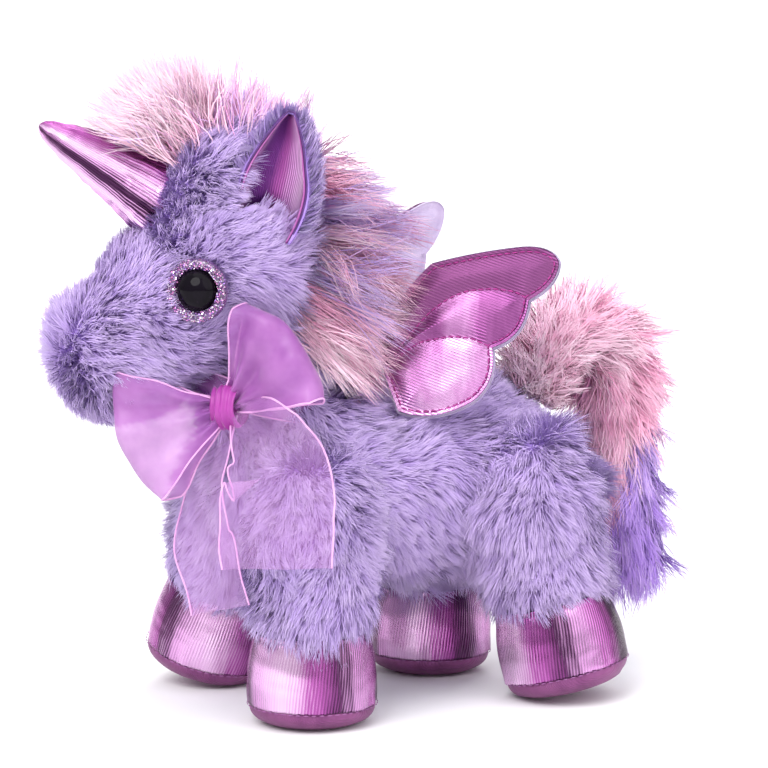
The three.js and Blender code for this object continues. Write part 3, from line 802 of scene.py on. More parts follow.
def pile_length(roots, region, names):
    """Shorter on the muzzle and round the eyes, longest on the flanks."""
    local = head_local(roots)
    length = np.full(len(roots), 9.0)
    muzzle = np.exp(-(np.linalg.norm(local - np.array((0, -66, 108)), axis=1) / 26) ** 2)
    length -= 2.6 * muzzle
    for side in SIDES.values():
        eye = np.array(EYE_AT) * (side, 1, 1)
        length -= 5.0 * np.exp(-(np.linalg.norm(local - eye, axis=1) / 13) ** 2)
        ear, _, _ = ear_hollow(roots, side)
        front_of_ear = np.exp(-((ear[:, 0] / 15) ** 2 + ((ear[:, 2] + 3) / 10) ** 2)) * (ear[:, 1] > -2)
        length -= 3.6 * front_of_ear
    horn = unit(np.array(HORN_TIP) - HORN_BASE)
    away = np.linalg.norm(np.cross(local - HORN_BASE, horn), axis=1) - HORN_RADIUS
    length -= 4.2 * np.exp(-(np.maximum(away, 0) / 6) ** 2) * ((local - HORN_BASE) @ horn > -12)
    bow = local_to(roots, BOW)
    length -= 2.5 * ((np.abs(bow[:, 0] - 18) < 26) & (np.abs(bow[:, 1] + 24) < 30) & (np.abs(bow[:, 2]) < 26))
    length *= 1 + 0.16 * noise(roots, 14, 21)
    return np.maximum(length, 3.5)


def ear_frame(side):
    return HEAD @ on_side(side, frame_at(EAR_BASE, Vector(EAR_TIP) - Vector(EAR_BASE), EAR_FACING))


def ear_width(t):
    """How the rolled leaf widens and narrows, from its root at 0 to its tip at 1."""
    return 0.12 + 0.88 * np.sin(np.pi * (0.22 + 0.78 * t)) ** 0.8


def ear_hollow(points, side):
    """Each point in the ear's own axes, the half width of the ear there, and whether it is in its hollow."""
    local = local_to(points, ear_frame(side))
    length = (Vector(EAR_TIP) - Vector(EAR_BASE)).length
    half = EAR_RADIUS * ear_width(np.clip((local[:, 2] + EAR_ROOT) / (length + EAR_ROOT), 0, 1))
    low = np.interp(local[:, 0], (-12, -6, 2, 8, 12), (-4, -2.5, -0.5, 0.5, 1))
    inside = (np.abs(local[:, 0]) < half) & (local[:, 2] > low) & (local[:, 1] > -half) & (local[:, 1] < 16)
    return local, half, inside


def press_ear_hollows(obj, depth=0.5):
    """Pushes the head's skin, or its filling, back behind each ear's lining."""
    points, _, _ = mesh_arrays(obj)
    for side in SIDES.values():
        local, half, inside = ear_hollow(points, side)
        share = np.clip(np.abs(local[:, 0]) / half, 0, 1)
        floor = -0.8 * half * np.sqrt(1 - share ** 2) - depth
        local[inside, 1] = np.minimum(local[inside, 1], floor[inside])
        points[inside] = moved(local[inside], ORIGIN @ ear_frame(side))
    obj.data.vertices.foreach_set("co", (points * MM).astype(np.float32).reshape(-1))
    obj.data.update()


def bare_spots(roots):
    """True where something is sewn over the skin: eyes, horn, ears and hooves."""
    local = head_local(roots)
    bare = np.zeros(len(roots), bool)
    for side in SIDES.values():
        eye = np.array(EYE_AT) * (side, 1, 1)
        bare |= np.linalg.norm(local - eye, axis=1) < EYE_RIM - 0.5
        in_ear, half, inside = ear_hollow(roots, side)
        bare |= inside | ((np.abs(in_ear[:, 0]) < half) & (in_ear[:, 2] > 0) & (np.abs(in_ear[:, 1]) < half))
    horn = Vector(HORN_TIP) - Vector(HORN_BASE)
    axis = np.array(horn.normalized())
    away = local - np.array(HORN_BASE)
    along = away @ axis
    bare |= (np.linalg.norm(away - along[:, None] * axis, axis=1) < HORN_RADIUS - 1.5) & (along > -9)
    for leg in LEGS.values():
        foot = local_to(roots, leg_frame(leg))
        bare |= (foot[:, 2] < HOOF_TOP_Z + 0.5) & (np.linalg.norm(foot[:, :2], axis=1) < HOOF_TOP_RADIUS)
    return bare


MOST_STRANDS = 36000            # in one piece of pile
STRAND_DENSITY = 5.2            # strands in a square millimetre
CLUMP_AREA = 4.5                # square millimetres
PILE_LEAN = np.radians(46)


def build_pile(points, triangles, normals):
    """The lavender pile over the whole skin, in pieces of its part of the skin, front to back."""
    rng = np.random.default_rng(7)
    a, b, c = (points[triangles[:, i]] for i in range(3))
    area = np.linalg.norm(np.cross(b - a, c - a), axis=1).sum() / 2
    roots, outward = sample_surface(points, triangles, normals, int(area * STRAND_DENSITY), rng)
    keep = ~bare_spots(roots)
    roots, outward = roots[keep], outward[keep]
    centres, _ = sample_surface(points, triangles, normals, int(area / CLUMP_AREA), rng)
    clump = clump_index(roots, centres)
    names, region = regions_of(roots)
    groups = len(centres)
    comb = unit(pile_direction(roots, region, names)) + rng.normal(size=(groups, 3))[clump] * 0.18
    lean = PILE_LEAN + rng.normal(size=groups)[clump] * 0.15 + 0.25 * noise(roots, 12, 31)
    length = pile_length(roots, region, names) * (1 + 0.13 * rng.normal(size=groups)[clump])
    length *= rng.uniform(0.78, 1.12, len(roots))
    paths = strand_paths(roots, outward, comb, length, np.clip(lean, 0.25, 1.25), clump, rng, gather=0.34,
                         curl=0.35)
    shade = 0.55 + 0.16 * rng.normal(size=groups)[clump] + 0.14 * rng.normal(size=len(roots))
    shade += 0.12 * noise(roots, 20, 41)
    for i, name in enumerate(names):
        chosen = np.flatnonzero(region == i)
        chosen = chosen[np.argsort(roots[chosen, 1])]
        for number, part in enumerate(np.array_split(chosen, -(-len(chosen) // MOST_STRANDS)), 1):
            width = rng.uniform(0.24, 0.36, len(part))
            pile = strands_object(f"{name}_pile_{number}", paths[part], outward[part], shade[part], width,
                                  FUR, rng)
            attach(pile, "root", "plush")


# ---- Filling and small hard parts ------------------------------------------------------------------
def build_fillings():
    """Loose fibre that fills each skin, pulled in a little from it."""
    inset = -SKIN_INSET - 3.5
    forms = {"body": ellipsoids(BODY_LUMPS, inset), "head": ellipsoids(HEAD_LUMPS, inset, HEAD)}
    hoof_core = [(0.01, HOOF_SEAM_Z + 1.5), (HOOF_SEAM_RADIUS - 3, HOOF_SEAM_Z + 1.5),
                 (HOOF_TOP_RADIUS - 3, HOOF_TOP_Z + 3), (0.01, HOOF_TOP_Z + 3)]
    for name, leg in LEGS.items():
        points, faces = turned(hoof_core, 40)
        forms[f"{name}_leg"] = [leg_form(leg, inset), (moved(points, leg_frame(leg)), faces)]
    for name, parts in forms.items():
        filling = lump_mesh(parts, f"{name}_filling", FIBRE, 2.6, 4)
        if name == "head":
            press_ear_hollows(filling, 4.5)
        attach(filling, "root", "fibre", f"{name}_stuffing")


FLAKE_SIZES = (0.28, 0.55)
FLAKE_COUNT = 900


def flakes(count, inner, outer, height_at, rng):
    """Tiny tilted hexagons scattered over a ring. Returns points, faces and a material index for each."""
    radius = np.sqrt(rng.uniform(inner ** 2, outer ** 2, count))
    angle = rng.uniform(0, 2 * np.pi, count)
    at = circle(radius, 0, angle) + (height_at(radius)[:, None] + 0.12) * (0, 0, 1)
    normal = unit(rng.normal(size=(count, 3)) * 0.32 + np.array((0, 0, 1)))
    first = unit(np.cross(normal, rng.normal(size=(count, 3))))
    second = np.cross(normal, first)
    reach = rng.uniform(*FLAKE_SIZES, count)[:, None] / 2
    corners = [at + reach * (math.cos(a) * first + math.sin(a) * second)
               for a in np.arange(6) * math.pi / 3]
    points = np.stack(corners, axis=1).reshape(-1, 3)
    faces = np.arange(count * 6).reshape(-1, 6)
    return points, faces, rng.integers(0, len(FLAKES), count)


def build_eye(name, side):
    frame = HEAD @ on_side(side, frame_at(EYE_AT, EYE_FACING))
    angles = np.linspace(0, np.pi / 2, 16)
    dome = [(EYE_PUPIL * math.cos(a), 0.2 + EYE_DOME * math.sin(a)) for a in angles[:-1]]
    shank = [(EYE_SHANK, EYE_SHANK_END), (EYE_SHANK, -0.8), (EYE_PUPIL - 0.3, -0.7), (EYE_PUPIL, -0.3)]
    pupil = make_mesh(f"{name}_pupil", *turned(shank + dome, 72), PUPIL, frame)
    attach(pupil, "root", "eye", f"{name}_eye_pupil")

    inner, outer, top = EYE_PUPIL + 0.15, EYE_RIM, 1.9
    across = np.linspace(0, np.pi, 14)
    middle, half = (inner + outer) / 2, (outer - inner) / 2
    profile = [(middle - half * math.cos(a), top * math.sin(a) ** 0.7) for a in across]
    profile += [(outer, -0.5), (inner, -0.5)]
    rim = make_mesh(f"{name}_rim", *ring(profile, 96), RIM, frame)
    attach(rim, "root", "glitter", f"{name}_eye_rim")
    rng = np.random.default_rng(50 + side)

    def rim_height(radius):
        share = np.clip((radius - middle) / half, -1, 1)
        return top * np.sqrt(1 - share ** 2) ** 0.7

    points, faces, which = flakes(FLAKE_COUNT, inner + 0.1, outer - 0.1, rim_height, rng)
    glitter = make_mesh(f"{name}_glitter", points, faces, FLAKES[0], frame, smooth=False)
    for material in FLAKES[1:]:
        glitter.data.materials.append(material)
    glitter.data.polygons.foreach_set("material_index", which.astype(np.int32))
    attach(glitter, "root", "glitter")

    washer = [(EYE_SHANK + 0.2, -11.4), (5.6, -11.4), (6.2, -11.1), (6.2, -10.4), (5.6, -10.1),
              (EYE_SHANK + 1.2, -10), (EYE_SHANK + 0.2, -9.2)]
    attach(make_mesh(f"{name}_washer", *ring(washer, 60), WASHER, frame), "root", "washer",
           f"{name}_eye_washer")


# ---- Foil pieces: horn and hooves -------------------------------------------------------------------
def foil_grid(columns, radius_at, z_values, wrap):
    """A closed-round grid whose radius depends on angle and height, and its UV in millimetres."""
    angles = full_turn(columns)
    points = np.concatenate([circle(radius_at(angles, z), z, angles) for z in z_values])
    uv = np.stack([np.tile(angles / (2 * np.pi) * wrap, len(z_values)), points[:, 2]], axis=1)
    return points, uv


HORN_COLUMNS, HOOF_COLUMNS = 144, 168


def build_horn():
    """A foil cone, puckered near its base, with a seam down it and fibre inside."""
    axis = Vector(HORN_TIP) - Vector(HORN_BASE)
    length = axis.length
    frame = HEAD @ frame_at(HORN_BASE, axis, (1, 0, 0))
    from_tip, radii = zip(*HORN_PROFILE)

    def radius_at(angles, z):
        r = np.interp(length - z, from_tip, radii)
        ring_points, lengthwise = circle(12, z * 1.8, angles), circle(14, z * 0.25, angles)
        near_base = math.exp(-max(z, 0) / 9)
        puckers = (0.22 + 0.5 * near_base) * noise(lengthwise, 3.6, 61) + 0.25 * noise(ring_points, 9, 62)
        seam = 0.55 * np.exp(-((np.angle(np.exp(1j * angles)) * r) / 0.9) ** 2)
        return np.maximum(r + (puckers - seam) * min(1, r / 5), 0.15)

    z_values = np.concatenate([np.linspace(-8, length - 3, 84), length - 3 * np.linspace(0.9, 0, 10) ** 1.4])
    points, uv = foil_grid(HORN_COLUMNS, radius_at, z_values, HORN_WRAP)
    cover = make_mesh("horn_foil_cover", points, round_faces(len(z_values), HORN_COLUMNS), HORN_FOIL, frame,
                      uv=uv, wrap=HORN_WRAP)
    attach(cover, "root", "foil", "horn_cover")

    core = [(0.01, -6)] + [(max(r - 1.7, 0.3), length - d) for d, r in HORN_PROFILE[:1:-1] if length - d > -6]
    filling = make_mesh("horn_filling", *turned([(radii[-1] - 2, -6)] + core[1:], 48), FIBRE, frame)
    attach(filling, "root", "fibre", "horn_stuffing")


# Each hoof's painted reflection stripes start at its own turn.
HOOF_TURNS = (0.0, 0.93, 0.08, 0.98)       # how far round each hoof its tones start


def build_hoof(name, leg):
    """A foil tube with soft folds, shut by a padded sole, with the seam between them stitched."""
    frame = leg_frame(leg)
    place = list(LEGS).index(name)
    seed, shift = place * 10 + 70, HOOF_TURNS[place] * HOOF_WRAP

    def radius_at(angles, z):
        t = (z - HOOF_SEAM_Z) / (HOOF_TOP_Z - HOOF_SEAM_Z)
        base = HOOF_SEAM_RADIUS + (HOOF_TOP_RADIUS - HOOF_SEAM_RADIUS) * t
        belly = 1.1 * math.sin(math.pi * min(max(t, 0), 1)) ** 0.8
        around, upright = circle(19, z * 2.2, angles), circle(19, z * 0.3, angles)
        folds = 0.10 * noise(around, 8, seed) * (1 - t * 0.5)
        gathers = 0.34 * noise(upright, 3.4, seed + 1) * math.exp(-(t / 0.22) ** 2)
        soft = 0.25 * noise(upright, 13, seed + 2)
        return base + belly + folds + gathers + soft

    heights = np.linspace(HOOF_SEAM_Z - 0.1, HOOF_TOP_Z + 1.5, 44)
    inner_heights = heights[::-1][::6]
    outer, uv = foil_grid(HOOF_COLUMNS, radius_at, heights, HOOF_WRAP)
    inner, inner_uv = foil_grid(HOOF_COLUMNS, lambda a, z: radius_at(a, z) - 0.9, inner_heights, HOOF_WRAP)
    faces = round_faces(len(heights) + len(inner_heights), HOOF_COLUMNS, end_to_start=True)
    wall = make_mesh(f"{name}_hoof_foil", np.concatenate([outer, inner]), faces, HOOF_FOIL, frame,
                     uv=np.concatenate([uv, inner_uv]) + (shift, 0), wrap=HOOF_WRAP)
    attach(wall, "root", "foil", f"{name}_hoof_wall")

    sole_rows = resampled(SOLE_LOOKS, 26)
    points, faces = turned(sole_rows, HOOF_COLUMNS)
    z = points[:, 2]
    points[:, 2] += 0.3 * noise(points, 9, seed + 3) * (z > 1.7) * (z < 6)
    sole = make_mesh(f"{name}_hoof_pad", points, faces, SOLE, frame, uv=points[:, :2] + 60)
    attach(sole, "root", "sole", f"{name}_hoof_sole")

    seam = circle(HOOF_SEAM_RADIUS + 0.25, HOOF_SEAM_Z - 0.35, np.linspace(0, 2 * np.pi, 240))
    thread = make_mesh(f"{name}_hoof_stitches", *stitches(seam, 1.5, 2.4, 0.2), SEAM_THREAD, frame)
    attach(thread, "root", "sole")


# ---- Ears -------------------------------------------------------------------------------------------
EAR_ROWS, EAR_COLUMNS = 46, 61
EAR_STRANDS, EAR_CLUMPS = 12000, 500


def ear_grid(outer, grow):
    """One face of the rolled leaf: rows from root to tip, columns round the trough."""
    length = (Vector(EAR_TIP) - Vector(EAR_BASE)).length
    half = math.radians(100)
    angles = np.linspace(-math.pi / 2 - half, -math.pi / 2 + half, EAR_COLUMNS)
    points = []
    for t in np.linspace(0, 1, EAR_ROWS):
        width = ear_width(t)
        rim_pinch = 1 - 0.16 * t * (np.abs(np.linspace(-1, 1, EAR_COLUMNS)) ** 3)
        x = outer * np.cos(angles) * width * rim_pinch
        y = outer * np.sin(angles) * width * 0.8
        z = np.full(EAR_COLUMNS, -EAR_ROOT + t * (length + EAR_ROOT + grow))
        points.append(np.stack([x, y, z], axis=1))
    points = np.concatenate(points)
    points += 0.35 * noise(points, 8, 91)[:, None] * np.array((0.4, 1, 0.2))
    return points


def build_ear(name, side):
    """A plush back, a foil lining and a thread round their edge, rolled into a leaf, and the back's pile."""
    rows, columns = EAR_ROWS, EAR_COLUMNS
    frame = ear_frame(side)
    body = f"{name}_ear"
    outside, inside = ear_grid(EAR_RADIUS - 0.8, -0.6), ear_grid(EAR_RADIUS - 1.9, -1.0)
    back = make_mesh(f"{name}_ear_plush", *thick_sheet(outside, inside, rows, columns), BACKING, frame)
    attach(back, body, "plush", f"{name}_ear_back")

    face, under = ear_grid(EAR_RADIUS - 2.9, -1.2), ear_grid(EAR_RADIUS - 2.1, -1.1)
    around = np.tile(np.linspace(0, EAR_WRAP, columns, endpoint=False), rows)
    uv = np.stack([around, np.repeat(np.linspace(0, 39, rows), columns)], axis=1)
    lining = make_mesh(f"{name}_ear_foil", *thick_sheet(face, under, rows, columns), EAR_FOIL, frame,
                       uv=np.concatenate([uv, uv]))
    attach(lining, body, "foil", f"{name}_ear_lining")

    middle = (ear_grid(EAR_RADIUS - 1.2, -0.2) + ear_grid(EAR_RADIUS - 2.4, -0.2)) / 2
    grid = middle.reshape(rows, columns, 3)
    edge = np.concatenate([grid[4:, 0], grid[-1, 1:-1:6], grid[:3:-1, -1]])
    cord = make_mesh(f"{name}_ear_edge", *tube(smoothed(edge, 2), 0.32, 8), EDGE_CORD, frame)
    attach(cord, body, "plush")

    rng = np.random.default_rng(31 + side)
    points, triangles, normals = mesh_arrays(back)
    roots, outward = sample_surface(points, triangles, normals, EAR_STRANDS, rng)
    local = local_to(roots, frame)
    turned_out = moved(outward, (ORIGIN @ frame).inverted().to_3x3().to_4x4())
    keep = (turned_out[:, 1] * local[:, 1] + turned_out[:, 0] * local[:, 0] > 2) & (local[:, 2] > -2)
    roots, outward = roots[keep], outward[keep]
    clump = clump_index(roots, roots[rng.choice(len(roots), EAR_CLUMPS, replace=False)])
    way = np.array((ORIGIN @ frame).to_3x3()) @ np.array((0, 0, 1.0))
    comb = np.tile(way, (len(roots), 1)) + 0.4 * rng.normal(size=(EAR_CLUMPS, 3))[clump]
    length = rng.uniform(5.0, 7.2, len(roots))
    paths = strand_paths(roots, outward, comb, length, np.full(len(roots), 0.85), clump, rng)
    shade = 0.6 + 0.15 * rng.normal(size=len(roots))
    pile = strands_object(f"{name}_ear_pile", paths, outward, shade, rng.uniform(0.3, 0.44, len(roots)),
                          FUR, rng)
    attach(pile, body, "plush")


# ---- Wings ------------------------------------------------------------------------------------------
WING_OUTLINE = [                       # curves of start, control, end
    ((4.6, -12), (15, -16), (27, -9)), ((27, -9), (35, -3), (33, 8)), ((33, 8), (43, 11), (44, 23)),
    ((44, 23), (53, 28), (53, 35)), ((53, 35), (51, 40), (42, 39.5)), ((42, 39.5), (28, 38), (14, 34)),
    ((14, 34), (3, 24), (-3, 7)), ((-3, 7), (0.8, -2.5), (4.6, -12)),
]
WING_VEINS = [
    [(0.6, 0.6), (4.7, 8.4), (13, 18.5), (18.5, 22.9), (24.6, 25.7), (32.6, 26.5), (40, 25.6), (44, 23)],
    [(0.1, 0), (4.7, 5.4), (10.8, 9.6), (20.2, 11.4), (26.1, 11), (33, 8)],
]
WING_CENTRE = (22, 14)
BORDER_STITCH = 1.4


def even_path(points, step):
    """A polyline resampled so that its points are about a step apart."""
    points = np.asarray(points, float)
    length = path_lengths(points)[-1]
    return points_along(points, np.linspace(0, length, max(int(round(length / step)), 2) + 1))


def wing_outline(step):
    points = []
    for start, control, end in WING_OUTLINE:
        for t in np.linspace(0, 1, 24, endpoint=False):
            points.append([(1 - t) ** 2 * a + 2 * t * (1 - t) * b + t * t * c
                           for a, b, c in zip(start, control, end)])
    points.append(points[0])
    return even_path(points, step)[:-1]


def nearest_distance(points, path):
    """Distance of each point in the plane from a finely sampled path."""
    tree = tree_of([(x, y, 0) for x, y in path])
    return np.array([tree.find((x, y, 0))[2] for x, y in points])


def shrunk(outline, inset):
    """The outline moved inward by an inset, along its own normals."""
    ahead, behind = np.roll(outline, -2, axis=0), np.roll(outline, 2, axis=0)
    tangent = unit(ahead - behind)
    inward = np.stack([-tangent[:, 1], tangent[:, 0]], axis=1)
    return outline + inward * inset


def polar_grid(outline, rings):
    """Rows of points from near the middle out to the outline."""
    centre = np.array(WING_CENTRE, float)
    shares = np.linspace(0.02, 1, rings) ** 0.8
    return np.concatenate([centre + share * (outline - centre) for share in shares])


def wing_puff(xy, outline, veins, rise):
    border = nearest_distance(xy, outline) - BORDER_STITCH
    sewn = np.minimum(border, np.minimum(*(nearest_distance(xy, vein) for vein in veins)))
    return 1 - np.exp(-(np.abs(sewn) / rise) ** 1.6) * (1 - 0.35 * (border < -0.3))


def build_wing(name, side):
    """Foil front, felt back and batting between them, quilted along two veins and round the border."""
    pivot = Matrix.Translation(WING_ROOT)
    set_back = Matrix.Rotation(FAR_WING_TURN, 4, "Z") @ Matrix.Rotation(FAR_WING_LIFT, 4, "X")
    turn = pivot @ (set_back if side < 0 else IDENTITY) @ pivot.inverted()
    frame = on_side(side, turn @ frame_at(WING_ROOT, WING_FACING))
    body = f"{name}_wing"
    outline = wing_outline(0.55)
    veins = [even_path(resampled(vein, 60), 0.3) for vein in WING_VEINS]
    fine_outline = wing_outline(0.25)
    rings = 56
    flat = polar_grid(outline, rings)
    puff = wing_puff(flat, fine_outline, veins, 3.4)
    relief = 0.22 * noise(np.c_[flat, flat[:, 0] * 0], 7, 81) * puff
    front = np.c_[flat, 0.7 + 1.5 * puff + relief]
    sheet = thick_sheet(front, front - (0, 0, 0.5), rings, len(outline), polar=True)
    foil = make_mesh(f"{name}_wing_foil", *sheet, WING_FOIL, frame, uv=np.concatenate([flat, flat]) + 40)
    # Each feather takes its own foil; the middle feather's darker copy is painted shade.
    foil.data.materials.append(WING_MIDDLE_SHADED_FOIL)
    foil.data.materials.append(WING_TOP_FOIL)
    where = local_to(read_all(foil.data.polygons, "center", float, 3) / MM, frame)
    feather = np.zeros(len(where), np.int32)
    for vein, left, right in ((veins[1], -20, 8), (veins[0], -20, 23)):
        order = np.argsort(vein[:, 0])
        feather += where[:, 1] > np.interp(where[:, 0], vein[order, 0], vein[order, 1], left=left, right=right)
    foil.data.polygons.foreach_set("material_index", feather)
    attach(foil, body, "foil", f"{name}_wing_front")

    wide = polar_grid(shrunk(outline, -0.6), 30)
    soft = wing_puff(wide, fine_outline, veins, 3.5)
    rear = np.c_[wide, -0.75 - 0.9 * soft]
    sheet = thick_sheet(rear + (0, 0, 0.7), rear, 30, len(outline), polar=True)
    felt = make_mesh(f"{name}_wing_felt", *sheet, FELT, frame)
    attach(felt, body, "felt", f"{name}_wing_back")

    inner = polar_grid(shrunk(outline, 2.6), 24)
    fill = wing_puff(inner, fine_outline, veins, 2.6)
    sheet = thick_sheet(np.c_[inner, 0.05 + 0.9 * fill], np.c_[inner, -0.1 - 0.7 * fill], 24, len(outline),
                        polar=True)
    pad = make_mesh(f"{name}_wing_pad", *sheet, FIBRE, frame)
    attach(pad, body, "fibre", f"{name}_wing_batting")

    parts = [stitches(np.c_[line, np.full(len(line), 0.9)], 1.9, 2.3, 0.26)
             for line in (shrunk(fine_outline, BORDER_STITCH), *veins)]
    thread = make_mesh(f"{name}_wing_stitches", *joined(parts), THREAD, frame)
    attach(thread, body, "foil")


# ---- Long dyed hair: forelock, mane and tail ---------------------------------------------------------
HAIR_SEGMENTS, HAIR_CURL, HAIR_WIDTHS = 6, 1.0, (0.24, 0.40)
FORELOCK_STRANDS, CROWN_STRANDS, TAIL_STRANDS = 8500, 1000, 27000
MANE_SAMPLES = 190000            # over the whole skin, of which the mane keeps its own


def hair(name, body, roots, normals, start, end, length, shade, rng, per_clump=30, gather=0.5):
    """A tuft of long strands from root points, start and end directions and lengths, in the frame's mm."""
    clump = clump_index(roots, roots[rng.choice(len(roots), max(len(roots) // per_clump, 4), replace=False)])
    groups = clump.max() + 1
    wander = rng.normal(size=(groups, 3))[clump]
    start = unit(start + 0.16 * wander + 0.10 * rng.normal(size=roots.shape))
    end = unit(end + 0.30 * wander + 0.14 * rng.normal(size=roots.shape))
    length = length * (1 + 0.16 * rng.normal(size=groups)[clump]) * rng.uniform(0.72, 1.12, len(roots))
    shade = shade + 0.06 * rng.normal(size=groups)[clump]
    paths = bent_paths(roots, start, end, length, clump, rng, HAIR_SEGMENTS, gather, HAIR_CURL)
    obj = strands_object(name, paths, normals, shade, rng.uniform(*HAIR_WIDTHS, len(roots)), HAIR, rng,
                         roll=1.2, softness=0.7)
    return attach(obj, body, "long_pile")


def turned_into_frame(vectors, matrix=IDENTITY):
    return vectors @ np.array((ORIGIN @ matrix).to_3x3()).T


def build_forelock():
    """A pink fan above the horn, and thinner lilac wisps behind it over the crown."""
    rng = np.random.default_rng(101)
    count = FORELOCK_STRANDS
    skull = np.array(HEAD_LUMPS[0][0]), np.array(HEAD_LUMPS[0][1]) - SKIN_INSET

    def on_skull(x, y):
        share = 1 - ((x - skull[0][0]) / skull[1][0]) ** 2 - ((y - skull[0][1]) / skull[1][1]) ** 2
        return np.stack([x, y, skull[0][2] + skull[1][2] * np.sqrt(np.maximum(share, 0))], axis=1)

    def fan(name, x, y, away, end, length, shade, **clumps):
        normals = unit(away + np.array((0.9, -0.3, 0.7)))
        ways = (turned_into_frame(way, HEAD) for way in (normals, away, end))
        return hair(name, "root", moved(on_skull(x, y), ORIGIN @ HEAD), *ways, length, shade, rng, **clumps)

    x, y = rng.normal(size=count) * 3.2, rng.uniform(-37, -27, count)
    swing = np.radians(rng.uniform(17, 96, count) + 2.0 * (y + 32))
    sideways = x / 3.2 * 0.24 + rng.normal(size=count) * 0.12
    away = unit(np.stack([sideways, -np.cos(swing), np.sin(swing)], axis=1))
    end = unit(away + np.array((0, -0.10, -0.10)))
    length = 28 + 5 * np.cos(swing) + 2.5 * rng.normal(size=count)
    shade = np.clip(0.12 + 0.08 * rng.normal(size=count) + 0.5 * (rng.uniform(size=count) < 0.10), 0.02, 0.75)
    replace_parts(fan("forelock_hair", x, y, away, end, length, shade, gather=0.75), "forelock")

    count = CROWN_STRANDS
    x, y = rng.normal(size=count) * 5.0, rng.uniform(-27, 4, count)
    swing = np.radians(84 + 1.3 * (y + 14) + 14 * rng.normal(size=count))
    away = unit(np.stack([x / 5.0 * 0.3, -np.cos(swing), np.sin(swing)], axis=1))
    end = unit(away + np.array((0, 0.30, -0.10)))
    shade = np.where(rng.uniform(size=count) < 0.4, 0.1, 0.62) + 0.06 * rng.normal(size=count)
    fan("crown_hair", x, y, away, end, rng.uniform(14, 32, count), shade, per_clump=20, gather=0.93)


def build_mane(points, triangles, normals):
    """Hair along the back of the head and neck: purple above, pink below."""
    rng = np.random.default_rng(102)
    roots, outward = sample_surface(points, triangles, normals, MANE_SAMPLES, rng)
    local = head_local(roots)
    half_width = np.interp(local[:, 2], MANE_HEIGHTS, MANE_WIDTHS)
    chosen = (np.abs(local[:, 0]) < half_width) & (local[:, 1] > MANE_FRONT)
    chosen &= (local[:, 2] > MANE_HEIGHTS[0]) & (local[:, 2] < MANE_HEIGHTS[-1])
    roots, outward, local = roots[chosen], outward[chosen], local[chosen]
    high = (local[:, 2] - MANE_HEIGHTS[0]) / (MANE_HEIGHTS[-1] - MANE_HEIGHTS[0])
    drop = np.interp(high, [0, 0.3, 0.6, 1], [-1.3, -0.7, -0.45, -0.30])
    aside = unit(turned_into_frame(np.stack([local[:, 0] / 30, 0.9 + 0 * high, drop], axis=1), HEAD))
    start = unit(outward * 0.8 + aside * 0.8)
    end = unit(outward * 0.15 + aside + np.array((0, 0, -0.15)))
    length = np.interp(high, [0, 0.35, 0.7, 1], [22, 33, 35, 28]) + 2 * rng.normal(size=len(roots))
    patches = noise(local, 12, 103)
    shade = np.where(patches > np.interp(high, [0, 0.3, 0.6, 1], [1.2, 0.8, 0.35, 0.0]), 0.72, 0.34)
    shade = shade - 0.16 * (high < 0.3) + 0.06 * noise(local, 5, 104)
    shade = np.clip(shade + 0.05 * rng.normal(size=len(roots)), 0.05, 0.95)
    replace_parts(hair("mane_hair", "root", roots, outward, start, end, length, shade, rng), "mane")


def tail_line(count):
    """Points, tangents and lengths along the tail's bend, root to tip, its corners cut four times."""
    path = np.array(TAIL_BEND, float)
    for _ in range(4):
        finer = [path[0]]
        for a, b in zip(path[:-1], path[1:]):
            finer += [a * 0.75 + b * 0.25, a * 0.25 + b * 0.75]
        path = np.array(finer + [path[-1]])
    s = np.linspace(0, path_lengths(path)[-1], count)
    points = points_along(path, s)
    return points, unit(np.gradient(points, axis=0)), s


